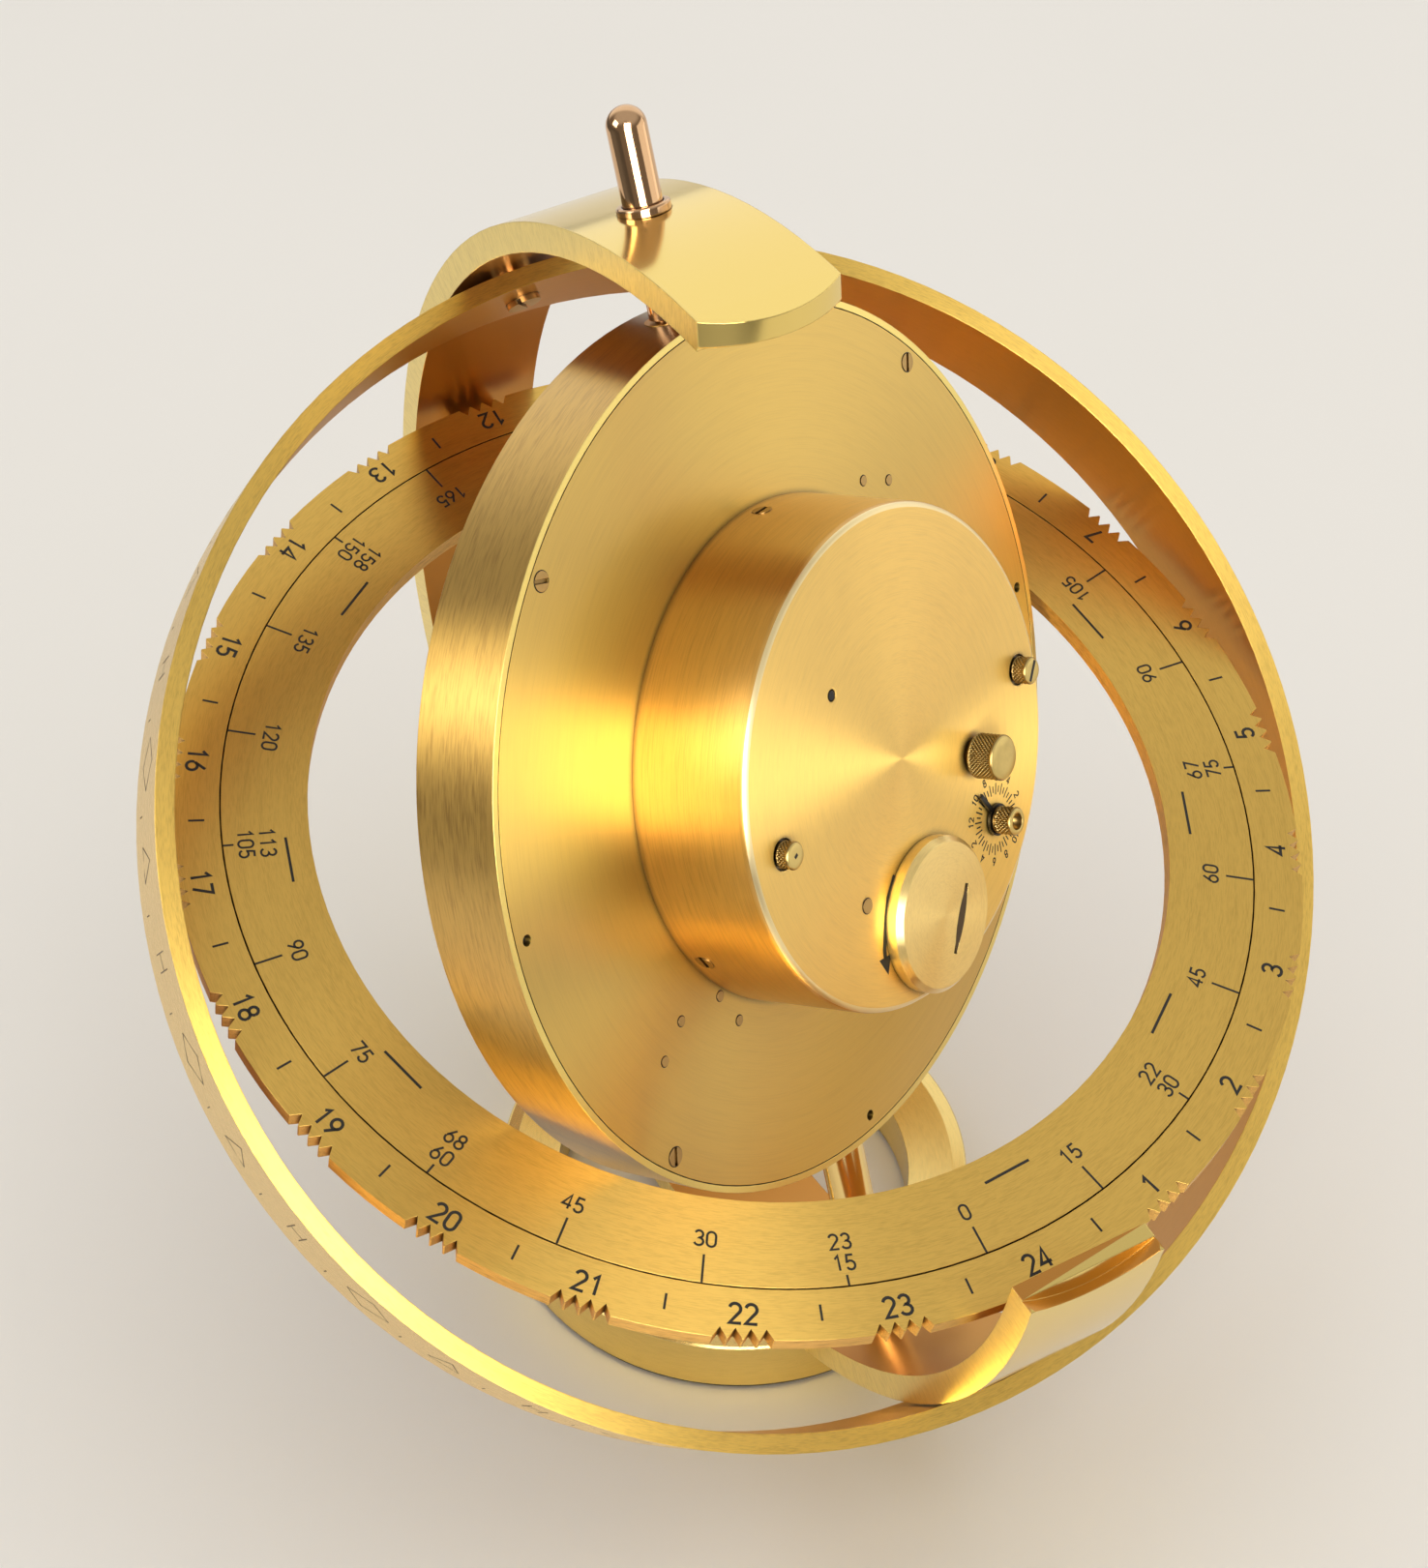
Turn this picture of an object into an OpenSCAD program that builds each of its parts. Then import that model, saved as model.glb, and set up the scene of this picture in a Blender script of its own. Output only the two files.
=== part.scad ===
// Armillary table clock: a drum clock swivels inside a meridian arc,
// a slanted world time ring and a wide outer band, on a round base.
// Millimetres. Z is up, the table is Z = 0, the arc lies in the XZ plane.

/* [Meridian arc] */
// Outer radius of the arc
arc_r = 113; // [111:0.5:116]
// Thickness of the arc
arc_t = 5.5; // [4.5:0.25:6.5]
// Width of the arc
arc_w = 26.6; // [24:0.2:30]
// Height of the lowest point of the arc above the table
arc_seat = 3.4; // [2.5:0.1:5]
// Angle of the upper end from vertical, in degrees
arc_end_top = -1.8; // [-6:0.2:4]
// Angle of the lower end from vertical, in degrees
arc_end_low = 262.2; // [259:0.2:266]
// How far the upper end bulges
arc_bulge = 4.5; // [3:0.1:6]
// How deep the lower end is hollowed
arc_hollow = 3.1; // [2:0.1:4]

/* [Outer band] */
// How far the band's inner radius exceeds the arc's
band_over = 1; // [0.9:0.1:1.5]
// Thickness of the band
band_t = 3.5; // [2.5:0.1:3.5]
// Width of the band
band_w = 20; // [16:0.5:21]
// Tilt of the band in degrees
band_tilt = 39.3; // [36:0.5:42]
// Sideways shift of the band
band_shift = 5.7; // [5.6:0.05:6]
// Shift of the band along its own axis
band_drop = 4.65; // [3:0.05:5]
// Radius of the spacer washers
spacer_r = 4; // [3.5:0.25:5]
// Radius of the band screw heads
band_head_r = 3.3; // [2.6:0.1:3.4]

/* [World ring] */
// Tilt of the ring in degrees
ring_tilt = 14.8; // [12:0.2:16]
// Air between the ring and the arc
ring_air = 2.5; // [2:0.1:3]
// Depth of the ring's face below the arc centre
ring_drop = 2; // [1:0.1:3]
// Radial width of the turning hour ring
hour_w = 9; // [8:0.1:10]
// Thickness of the hour ring
hour_t = 3.5; // [3.2:0.1:4.5]
// Radial width of the fixed ring's face
city_w = 15.7; // [14.5:0.1:15.9]
// Thickness of the lip that holds the hour ring down
lip_t = 1.7; // [1.2:0.1:2]
// Radial width of the lip
lip_w = 3; // [2:0.1:4]
// Thickness of the keeper ring
keeper_t = 1.5; // [1.2:0.1:2.5]
// Depth of the notches in the rim
notch_d = 1.9; // [1:0.1:2.5]
// Angle from one notch to the next in degrees
notch_pitch = 1.45; // [1.2:0.05:1.6]
// Number of hour groups round the rim
hour_groups = 24; // [24]
// Notches in a group
notch_count = 4; // [2:1:5]
// Width of the ring brackets
bracket_w = 10; // [8:0.5:14]
// Thickness of the ring brackets
bracket_t = 3; // [2.5:0.25:4]
// Height of the bracket foot
bracket_h = 13; // [11:0.5:15]

/* [Base] */
// Outer radius of the base
base_r = 48; // [46:0.5:54]
// How far the base's rim stays below the arc at its outer edge
base_short = 0.8; // [0:0.1:2]
// Width of the flat rim
rim_w = 2.9; // [2:0.1:4]
// Width of the sloped face
slope_w = 8.9; // [7:0.1:10]
// Fall of the sloped face
slope_fall = 2; // [1:0.1:3]
// Thickness of the felt pad
pad_t = 1; // [0.8:0.1:1.5]
// Distance of the base screws from the base's outer edge
base_screw_in = 7; // [5.5:0.25:8]
// Distance of the base screws from the arc's middle plane
base_screw_y = 6; // [4:0.25:8]

/* [Pivot] */
// Lean of the swivel axis in degrees
axis_lean = 24; // [20:0.5:28]
// Distance of the swivel axis from the arc centre
axis_off = 10.2; // [9:0.1:11]
// Height of the clock's centre along the swivel axis
head_rise = 14.05; // [13:0.05:15]
// Turn of the clock at rest in degrees
head_turn = 24.3; // [0:0.1:360]
// Radius of the finial
finial_r = 3.5; // [3:0.1:4.5]
// Height of the finial above the arc
finial_h = 18; // [12:0.5:26]
// Radius of the finial's collar
collar_r = 4.75; // [4.6:0.05:6.5]
// Height of the finial's collar
collar_h = 2; // [1.5:0.1:3]
// Radius of the upper pivot
pivot_r = 3; // [2.6:0.1:4]
// Radius of the lower post
post_r = 4.2; // [4:0.1:5]
// Radius of the journals at both pivots
journal_r = 2; // [1.6:0.1:2.2]
// Running clearance of every shaft
run_gap = 0.05; // [0.03:0.01:0.08]

/* [Clock case] */
// Air between the case and the world ring
case_air = 0.5; // [0.5:0.1:3]
// Depth of the case in front of its middle
case_front = 8.5; // [8:0.1:9.5]
// Depth of the case behind its middle
case_back = 8.6; // [8.2:0.1:9]
// Wall thickness of the case
case_wall = 2.5; // [2:0.1:3]
// Width of the bright rim at the back
edge_w = 1.2; // [1:0.05:1.5]
// Dark gap between rim and back plate
edge_gap = 0.2; // [0.1:0.05:0.3]
// Thickness of the back plate
plate_t = 2; // [1.5:0.1:2.5]
// Inset of the flange behind the back plate
flange_w = 7; // [6.6:0.1:8]
// Thickness of the flange
flange_t = 2.4; // [2:0.1:2.6]
// Width of the front bezel
bezel_w = 6; // [5:0.1:7]
// Thickness of the glass
glass_t = 1.6; // [1.2:0.1:1.8]
// Thickness of the dial
dial_t = 1; // [0.8:0.1:1.2]
// Distance of the back plate screws from the case's edge
plate_screw_in = 4; // [3.7:0.1:4.4]
// Radius of the back plate screw heads
plate_head_r = 1.7; // [1.3:0.1:1.9]

/* [Rear can] */
// Radius of the can at its rear face
can_top_r = 44.4; // [44.3:0.1:45]
// How much wider the can is at its foot
can_flare = 0.8; // [0.4:0.1:1]
// Height of the can
can_h = 23; // [22:0.25:25]
// Wall thickness of the can's side
can_wall = 1.9; // [1.6:0.1:2.2]
// Thickness of the can's rear face
can_face_t = 2; // [1.8:0.1:2.4]
// Rounding of the can's edge
can_round = 1.2; // [0.8:0.1:1.6]
// Height of the can screws above the plate
can_screw_h = 3.4; // [3:0.1:4]

/* [Knobs] */
// Time knob, sideways
time_x = 20; // [19:0.1:21]
// Time knob, along the swivel axis
time_y = -8.4; // [-9:0.1:-8]
// Time knob radius
time_r = 4.1; // [3.5:0.1:4.4]
// Time knob height
time_h = 6.5; // [5:0.1:9]
// Distance of the date knob from the can's rim
date_in = 8.4; // [7.9:0.1:9.4]
// Date knob, along the swivel axis
date_y = -1; // [-2:0.1:2]
// Date knob radius
date_r = 2.4; // [2:0.1:2.6]
// Date knob height
date_h = 2.6; // [2:0.1:4]
// Distance of the month knob from the can's rim
month_in = 6.1; // [5.9:0.1:6.9]
// Month knob, along the swivel axis
month_y = 0.2; // [-1:0.1:1]
// Month knob radius
month_r = 2.5; // [2:0.1:2.6]
// Month knob height
month_h = 3.1; // [2:0.1:5]
// Pointer knob, sideways
point_x = 23.5; // [23:0.1:24]
// Pointer knob, along the swivel axis
point_y = -22.8; // [-23.2:0.1:-22.4]
// Pointer knob radius
point_r = 2.6; // [2.4:0.1:3]
// Pointer knob height
point_h = 3.9; // [3:0.1:6]
// Bore of the pointer knob
point_bore = 1.5; // [1:0.1:1.7]
// Length of the black pointer
point_len = 5.6; // [4:0.1:7]
// Width of the black pointer
point_w = 1.1; // [0.6:0.1:1.6]
// Direction of the black pointer
point_turn = 54; // [0:1:360]
// Battery cap, sideways
cap_x = 0; // [-0.5:0.1:0.5]
// Distance of the battery cap's edge from the can's rim
cap_in = 0.4; // [0.3:0.1:0.9]
// Battery cap radius
cap_r = 14; // [13:0.1:14.2]
// Battery cap height
cap_h = 3.1; // [2.5:0.1:4]
// Chamfer of the battery cap
cap_chamfer = 1; // [0.5:0.1:1.5]
// Length of the coin slot
coin_l = 12.6; // [10:0.2:14]
// Width of the coin slot
coin_w = 1.1; // [0.8:0.1:1.6]
// Distance of the coin slot from the cap's centre
coin_off = 4.9; // [0:0.1:5]

/* [Hands] */
// Minute shown at rest
rest_minute = 10; // [0:1:59]
// Hour shown at rest
rest_hour = 10; // [0:1:11]
// Date shown at rest
rest_date = 8; // [1:1:31]
// Month shown at rest
rest_month = 6; // [1:1:12]
// Distance of the minute hand's tip from the dial marks
minute_short = 0; // [0:0.5:10]
// How much shorter the hour hand is than the minute hand
hour_short = 18; // [14:1:30]
// Length of the date and month hands
small_len = 9; // [6:0.5:11]
// Width of the hands at the hub
hand_w = 3.6; // [2.5:0.1:4]
// Thickness of the hands
hand_t = 0.5; // [0.4:0.05:0.6]

/* [Movement] */
// Air between the movement plates and the can
move_air = 1.5; // [1.3:0.1:1.9]
// Thickness of the movement plates
move_t = 1.5; // [1.2:0.1:1.8]
// Radius of the pillars
pillar_r = 2; // [1.5:0.1:2.4]
// Tooth module of the minute train
mod_a = 0.5; // [0.5]
// Tooth module of the hour train
mod_b = 0.48; // [0.48]
// Radius of the centre arbor
arbor_r = 0.9; // [0.7:0.05:1]
// Radius of the battery cell
cell_r = 8.2; // [7.8:0.1:8.4]
// Air between the battery cell and its cap
cell_short = 0.6; // [0.4:0.1:2]
// Radius of the coil
coil_r = 4; // [3:0.1:5]
// Length of the coil
coil_l = 20; // [16:0.5:23]

/* [Hidden] */
$fn = 96;
over = 0.5;
hair = 0.01;
arc_z = arc_seat + arc_r;
arc_in = arc_r - arc_t;
arc_mid = arc_in + arc_t / 2;
bulge_r = (pow(arc_w / 2, 2) + pow(arc_bulge, 2)) / (2 * arc_bulge);
hollow_r = (pow(arc_w / 2, 2) + pow(arc_hollow, 2)) / (2 * arc_hollow);
bulge_turn = (bulge_r - arc_bulge) / arc_mid * 180 / PI;
hollow_turn = (hollow_r - arc_hollow) / arc_mid * 180 / PI;
end_turn = 5;
// arc, base and post holes
screw_r = 1.5;
screw_clear = 1.7;
slot_w = 0.8;
slot_share = 0.5;
pan_h = 1.7;
seat_d = 0.5;
// outer band
band_in = arc_in + band_over;
band_out = band_in + band_t;
band_bite = 4;
// world ring, heights in the ring frame
hour_out = arc_in - ring_air;
hour_in = hour_out - hour_w;
ring_groove = 0.3;
city_out = hour_in - ring_groove;
city_in = city_out - city_w;
city_body = city_out - lip_w;
tongue_in = city_body + run_gap;
face_z = -ring_drop;
lip_z = face_z - lip_t;
low_z = face_z - hour_t;
keeper_z = low_z - keeper_t;
keeper_inset = 6;
keeper_lap = 2;
keeper_in = city_in + keeper_inset;
keeper_out = hour_in + keeper_lap;
keeper_screw_c = (keeper_in + city_body) / 2;
keeper_screw_r = 0.9;
keeper_head_r = 1.6;
keeper_head_t = 0.8;
keeper_bite = 1.6;
keeper_angle = 22.5;
bracket_inset = 1.5;
bracket_arm_in = keeper_in + bracket_inset;
bracket_bolt_c = keeper_screw_c;
bracket_head_r = 2.4;
bracket_foot_z = keeper_z - bracket_h;
bracket_bolt_turn = 7.8;
// base
base_bite = 2.9;
base_in = base_r - rim_w - slope_w;
base_h = arc_z - sqrt(pow(arc_r, 2) - pow(base_r, 2)) - base_short;
base_screw_x = base_r - base_screw_in;
base_screw_top = arc_z - sqrt(pow(arc_r, 2) - pow(base_screw_x, 2)) + base_bite;
base_head_r = 2.9;
head_air = 0.5;
base_head_t = 1.8;
pad_edge = 0.5;
edge_cut = 0.4;
// swivel axis, heights along the axis
axis_in = sqrt(pow(arc_in, 2) - pow(axis_off, 2));
axis_out = sqrt(pow(arc_r, 2) - pow(axis_off, 2));
case_r = city_in - case_air;
plate_screw_r = case_r - plate_screw_in;
head_top = head_rise + case_r;
head_low = head_rise - case_r;
thrust = 0.45;
bush_wall = 2;
bush_l = 7;
journal_l = 6;
stud_r = 2.5;
post_head_r = 3.6;
post_screw_r = 2;
// case, depths along the disc axis
back_z = case_back;
front_z = -case_front;
plate_z = case_back - plate_t;
plate_r = case_r - edge_w - edge_gap;
seat_r = case_r - edge_w;
flange_z = plate_z - flange_t;
flange_in = case_r - flange_w;
case_in = case_r - case_wall;
lip_front = 1.2;
bezel_seat = 3.6;
bezel_z = front_z + bezel_seat;
bezel_in = case_in - bezel_w;
glass_inset = 3.5;
glass_r = case_in - glass_inset;
glass_z = front_z + lip_front;
gasket_z = glass_z + glass_t;
gasket_w = 3;
dial_z = -2;
dial_back = dial_z + dial_t;
can_r = can_top_r + can_flare;
can_fit = 0.4;
collar_deep = 2;
plate_air = 0.2;
move_r = can_r - can_wall - move_air;
plate_hole = move_r + plate_air;
collar_in = can_r - can_wall - collar_deep;
collar_out = can_r - can_wall - can_fit;
collar_top = 6;
can_in = collar_out;
can_z = back_z + can_h;
can_inner_z = can_z - can_face_t;
hole_r = 1;
hole_d = 1.5;
// small pins in the back plate: turn, and share of the way from the can to the case's edge
pin_turns = [48, 40.2, 215.4, 224.2, 232.7, 215.5];
pin_shares = [0.1325, 0.2382, 0.247, 0.009, 0.0904, 0.4777];
pin_near = 1.1;
pin_r = 0.9;
pin_out = 0.15;
eye_pos = [-15.6, 18.7];
eye_r = 1.1;
plug_pos = [-17.2, -20];
plug_r = 1.3;
plug_d = 1;
can_turns = [90, 210, 330];
can_head_r = 1.7;
can_head_t = 0.9;
can_screw_r = 0.9;
knob_lift = 0.3;
date_x = date_in - can_top_r;
month_x = can_top_r - month_in;
cap_y = cap_r + cap_in - can_top_r;
knob_seat = 0.8;
knob_seat_gap = 0.4;
// movement
front_plate_z = 3.6;
move_drop = 5.6;
rear_plate_z = can_inner_z - move_drop;
pillar_in = 4.8;
pillar_c = move_r - pillar_in;
pillar_turns = [60, 120, 240, 300];
pillar_over = 1;
pillar_top = rear_plate_z + move_t + pillar_over;
teeth_small = 12;
teeth_big = 36;
teeth_leaf = 10;
teeth_hour = 40;
span = mod_a * (teeth_small + teeth_big) / 2;
set_dist = sqrt(pow(time_x, 2) + pow(time_y, 2));
set_turn = atan2(time_y, time_x);
side_dist = sqrt(pow(span, 2) - pow(set_dist / 2, 2));
wheel_x = cos(set_turn) * set_dist / 2 - sin(set_turn) * side_dist;
wheel_y = sin(set_turn) * set_dist / 2 + cos(set_turn) * side_dist;
turn_a = atan2(wheel_y, wheel_x);
turn_b = atan2(time_y - wheel_y, time_x - wheel_x);
wheel_phase = turn_a + 180 + turn_a * teeth_small / teeth_big + 180 / teeth_big;
set_phase = turn_b + 180 - (wheel_phase - turn_b) * teeth_big / teeth_small + 180 / teeth_small;
hour_phase = turn_a + (turn_a + 180) * teeth_leaf / teeth_hour + 180 / teeth_hour;
gear_front_z = -0.7;
hour_wheel_t = 1;
wheel_z = 0.9;
wheel_t = 1;
pinion_extra = 0.2;
tube_r = 1.6;
hand_hour_z = -3.6;
hand_minute_z = -4.5;
mark_t = 0.2;
hand_gap = 0.05;
hand_small_z = dial_z - mark_t - hand_gap - hand_t;
wheel_post_r = 0.8;
wheel_post_foot = 1.5;
wheel_post_gap = 0.4;
stem_r = 0.8;
stem_collar_r = 1.7;
stem_collar_t = 1;
tube_wall = 1;
tube_bottom = 10;
tube_top = can_inner_z;
cell_gap = 0.4;
spring_t = 1.2;
cell_z = tube_bottom + tube_wall + spring_t;
cell_l = can_inner_z - cell_z - cell_short;
spigot_wall = 2;
spigot_r = cell_r + spigot_wall;
coil_y = 22;
core_l = 30;
core_w = 3;
core_leg = 3;
core_z = 14.5;
board = [24, 14, 1.2];
board_pos = [-30, 2];
chip = [6, 5, 1];
mark_in = 5;
mark_r = bezel_in - mark_in;
mark_l = 6;
minute_len = mark_r - mark_l - minute_short;
hour_len = minute_len - hour_short;
mark_w = 1.6;
knurl_count = 24;
knurl_d = 0.25;

// frames
module at_arc() {
    translate([0, 0, arc_z])
        children();
}

module in_ring() {
    at_arc()
        rotate([0, ring_tilt, 0])
            children();
}

module in_band() {
    at_arc()
        rotate([0, band_tilt, 0])
            children();
}

module on_axis() {
    at_arc()
        rotate([0, -axis_lean, 0])
            translate([axis_off, 0, 0])
                children();
}

// x is to the right seen from behind, y up the swivel axis, z out of the back
module in_head() {
    on_axis()
        translate([0, 0, head_rise])
            rotate([0, 0, head_turn])
                rotate([90, 0, 90])
                    children();
}

// shared shapes
// cylinder round the Y axis at the arc centre
module arc_round(radius, width) {
    at_arc()
        rotate([90, 0, 0])
            cylinder(r = radius, h = width, center = true);
}

module arc_slice(from_turn, to_turn) {
    at_arc()
        rotate([90, 0, 0])
            rotate([0, 0, 90 + from_turn])
                rotate_extrude(angle = to_turn - from_turn, $fn = 180)
                    translate([arc_in, -arc_w / 2])
                        square([arc_t, arc_w]);
}

// radial cylinder through the arc at an angle from vertical
module arc_plug(turn, radius) {
    at_arc()
        rotate([0, -turn, 0])
            translate([0, 0, arc_in - over])
                cylinder(r = radius, h = arc_t + 2 * over);
}

module band_shell(radius, extra) {
    in_band()
        translate([band_shift, 0, -band_drop])
            cylinder(r = radius, h = band_w + extra, center = true, $fn = 180);
}

module tube(outer, inner, height) {
    difference() {
        cylinder(r = outer, h = height);
        translate([0, 0, -over])
            cylinder(r = inner, h = height + 2 * over);
    }
}

// head on z = 0, shank below it
module screw(head_r, head_t, shank_r, shank_l) {
    difference() {
        cylinder(r = head_r, h = head_t);
        translate([-head_r - over, -slot_w / 2, head_t * slot_share])
            cube([2 * (head_r + over), slot_w, head_t]);
    }
    translate([0, 0, -shank_l])
        cylinder(r = shank_r, h = shank_l + hair);
}

module ring_turns(count, first) {
    for (i = [0:count - 1])
        rotate([0, 0, first + i * 360 / count])
            children();
}

module gear_shape(mod, teeth, phase) {
    pitch = mod * teeth / 2;
    root = pitch - 1.1 * mod;
    tip = pitch + 0.8 * mod;
    circle(r = root);
    for (i = [0:teeth - 1])
        rotate(phase + i * 360 / teeth)
            polygon([[root - mod / 2, -0.8 * mod], [root, -0.8 * mod], [tip, -0.3 * mod],
                [tip, 0.3 * mod], [root, 0.8 * mod], [root - mod / 2, 0.8 * mod]]);
}

module gear(mod, teeth, phase, thick, bore) {
    difference() {
        linear_extrude(thick)
            gear_shape(mod, teeth, phase);
        if (bore > 0)
            translate([0, 0, -over])
                cylinder(r = bore, h = thick + 2 * over);
    }
}

module knob(radius, height, slotted) {
    difference() {
        cylinder(r = radius, h = height);
        if (slotted)
            translate([-radius - over, -slot_w / 2, height * 0.75])
                cube([2 * (radius + over), slot_w, height]);
        for (i = [0:knurl_count - 1])
            rotate([0, 0, i * 360 / knurl_count])
                translate([radius, 0, height * 0.12])
                    rotate([0, 0, 45])
                        translate([-knurl_d / 2, -knurl_d / 2, 0])
                            cube([knurl_d, knurl_d, height * 0.72]);
    }
}

module hand(len, width, hub) {
    cylinder(r = hub, h = hand_t);
    linear_extrude(hand_t)
        polygon([[-width * 0.42, -len * 0.2], [-width / 2, 0], [-width * 0.32, len * 0.86], [0, len],
            [width * 0.32, len * 0.86], [width / 2, 0], [width * 0.42, -len * 0.2]]);
}

// base
module base_pad() {
    color("dimgray")
        tube(base_r - pad_edge, base_in + pad_edge, pad_t);
}

module base_ring() {
    color("goldenrod")
        difference() {
            rotate_extrude()
                polygon([[base_in, pad_t], [base_r, pad_t], [base_r, base_h - edge_cut],
                    [base_r - edge_cut, base_h], [base_r - rim_w, base_h],
                    [base_in, base_h - slope_fall]]);
            arc_round(arc_r, arc_w);
            for (side = [-1, 1], flank = [-1, 1])
                translate([side * base_screw_x, flank * base_screw_y, 0]) {
                    cylinder(r = screw_clear, h = base_h);
                    cylinder(r = base_head_r + run_gap, h = pad_t + base_head_t);
                }
            on_axis()
                translate([0, 0, -axis_out - pan_h])
                    cylinder(r = post_head_r + head_air, h = pan_h + arc_t);
        }
}

module base_screws() {
    color("rosybrown")
        for (side = [-1, 1], flank = [-1, 1])
            translate([side * base_screw_x, flank * base_screw_y, pad_t + base_head_t])
                rotate([180, 0, 0])
                    screw(base_head_r, base_head_t, screw_r, base_screw_top - pad_t - base_head_t);
}

// arc
module meridian_arc() {
    color("gold")
        difference() {
            union() {
                arc_slice(arc_end_top, arc_end_low);
                intersection() {
                    arc_slice(arc_end_top - end_turn, arc_end_top + 1);
                    arc_plug(arc_end_top + bulge_turn, bulge_r);
                }
            }
            arc_plug(arc_end_low + hollow_turn, hollow_r);
            for (side = [-1, 1], flank = [-1, 1])
                translate([side * base_screw_x, flank * base_screw_y, 0])
                    cylinder(r = screw_r, h = base_screw_top);
            on_axis()
                translate([0, 0, axis_in - over])
                    cylinder(r = stud_r, h = arc_t + 2 * over);
            on_axis()
                translate([0, 0, axis_out - seat_d])
                    cylinder(r = collar_r, h = 2 * over);
            on_axis()
                translate([0, 0, -axis_out - over])
                    cylinder(r = post_screw_r, h = arc_t + 2 * over);
            on_axis()
                translate([0, 0, -axis_out - over])
                    cylinder(r = post_head_r, h = over + seat_d);
            band_bolts(screw_r, true);
            bracket_feet_bolts(screw_r, true);
        }
}

// outer band
module band_bolts(radius, only_shank) {
    in_band() {
        translate([band_shift - band_in - seat_d, 0, -band_drop])
            rotate([0, 90, 0])
                rotate([180, 0, 0])
                    translate([0, 0, -over])
                        cylinder(r = radius, h = band_t + band_bite + over);
        translate([band_shift + band_out - seat_d - band_t - band_bite, 0, -band_drop])
            rotate([0, 90, 0])
                cylinder(r = radius, h = band_t + band_bite + over);
    }
}

module outer_band() {
    color("darkgoldenrod")
        difference() {
            band_shell(band_out, 0);
            band_shell(band_in, 2 * over);
            band_bolts(screw_r, true);
            in_band()
                translate([band_shift - band_in - seat_d, 0, -band_drop])
                    rotate([0, 90, 0])
                        cylinder(r = band_head_r, h = 2 * seat_d);
            in_band()
                translate([band_shift + band_out - seat_d, 0, -band_drop])
                    rotate([0, 90, 0])
                        cylinder(r = band_head_r, h = 2 * seat_d);
        }
}

module band_spacers() {
    color("goldenrod") {
        difference() {
            intersection() {
                in_band()
                    translate([-arc_in - over, 0, -band_drop])
                        rotate([0, 90, 0])
                            cylinder(r = spacer_r, h = arc_t);
                arc_round(arc_in, 2 * arc_w);
            }
            band_shell(band_out, 2 * over);
            band_bolts(screw_r, true);
        }
        difference() {
            intersection() {
                in_band()
                    translate([arc_in + over, 0, -band_drop])
                        rotate([0, 90, 0])
                            cylinder(r = spacer_r, h = 2 * arc_t);
                band_shell(band_in, 2 * over);
            }
            arc_round(arc_r, 2 * arc_w);
            band_bolts(screw_r, true);
        }
    }
}

module band_screws() {
    color("rosybrown")
        in_band() {
            translate([band_shift - band_in - seat_d, 0, -band_drop])
                rotate([0, 90, 0])
                    translate([0, 0, 0])
                        rotate([0, 0, 35])
                            screw(band_head_r, pan_h, screw_r, band_t + band_bite);
            translate([band_shift + band_out - seat_d, 0, -band_drop])
                rotate([0, 90, 0])
                    rotate([0, 0, 20])
                        screw(band_head_r, pan_h, screw_r, band_t + band_bite);
        }
}

// world ring
module city_ring() {
    color("goldenrod")
        in_ring()
            difference() {
                rotate_extrude($fn = 180)
                    polygon([[city_in, low_z], [city_body, low_z], [city_body, lip_z],
                        [city_out, lip_z], [city_out, face_z], [city_in, face_z]]);
                ring_turns(8, keeper_angle)
                    translate([keeper_screw_c, 0, low_z - over])
                        cylinder(r = keeper_screw_r, h = keeper_bite + over);
                ring_turns(2, 0)
                    translate([bracket_bolt_c, 0, low_z - over])
                        cylinder(r = screw_r, h = keeper_bite + over);
            }
}

module keeper_ring() {
    color("darkgoldenrod")
        in_ring()
            difference() {
                translate([0, 0, keeper_z])
                    tube(keeper_out, keeper_in, keeper_t);
                ring_turns(8, keeper_angle) {
                    translate([keeper_screw_c, 0, keeper_z - over])
                        cylinder(r = keeper_screw_r, h = keeper_t + 2 * over);
                    translate([keeper_screw_c, 0, keeper_z - over])
                        cylinder(r = keeper_head_r, h = keeper_head_t + over);
                }
                ring_turns(2, 0)
                    translate([bracket_bolt_c, 0, keeper_z - over])
                        cylinder(r = screw_r, h = keeper_t + 2 * over);
            }
}

module keeper_screws() {
    color("rosybrown")
        in_ring()
            ring_turns(8, keeper_angle)
                translate([keeper_screw_c, 0, keeper_z + keeper_head_t])
                    rotate([180, 0, 0])
                        screw(keeper_head_r, keeper_head_t, keeper_screw_r,
                            keeper_t - keeper_head_t + keeper_bite);
}

module hour_ring() {
    color("orange")
        in_ring()
            difference() {
                union() {
                    translate([0, 0, low_z + run_gap])
                        tube(hour_out, hour_in, hour_t - run_gap);
                    translate([0, 0, low_z + run_gap])
                        tube(hour_in + over, tongue_in, lip_z - low_z - 2 * run_gap);
                }
                translate([0, 0, low_z - over])
                    linear_extrude(hour_t + 2 * over)
                        for (g = [0:hour_groups - 1], k = [0:notch_count - 1])
                            rotate(g * 360 / hour_groups + (k - (notch_count - 1) / 2) * notch_pitch)
                                polygon([[hour_out - notch_d, 0], [hour_out + over, -notch_d * 0.8],
                                    [hour_out + over, notch_d * 0.8]]);
            }
}

// screw axes of the bracket feet, radial through the arc
module bracket_feet_bolts(radius, only_shank) {
    in_ring()
        for (side = [0, 1])
            rotate([0, side * 180 + (1 - 2 * side) * bracket_bolt_turn, 0])
                translate([arc_in - bracket_t - over, 0, 0])
                    rotate([0, 90, 0])
                        cylinder(r = radius, h = bracket_t + 2 * over + arc_t / 2);
}

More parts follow.
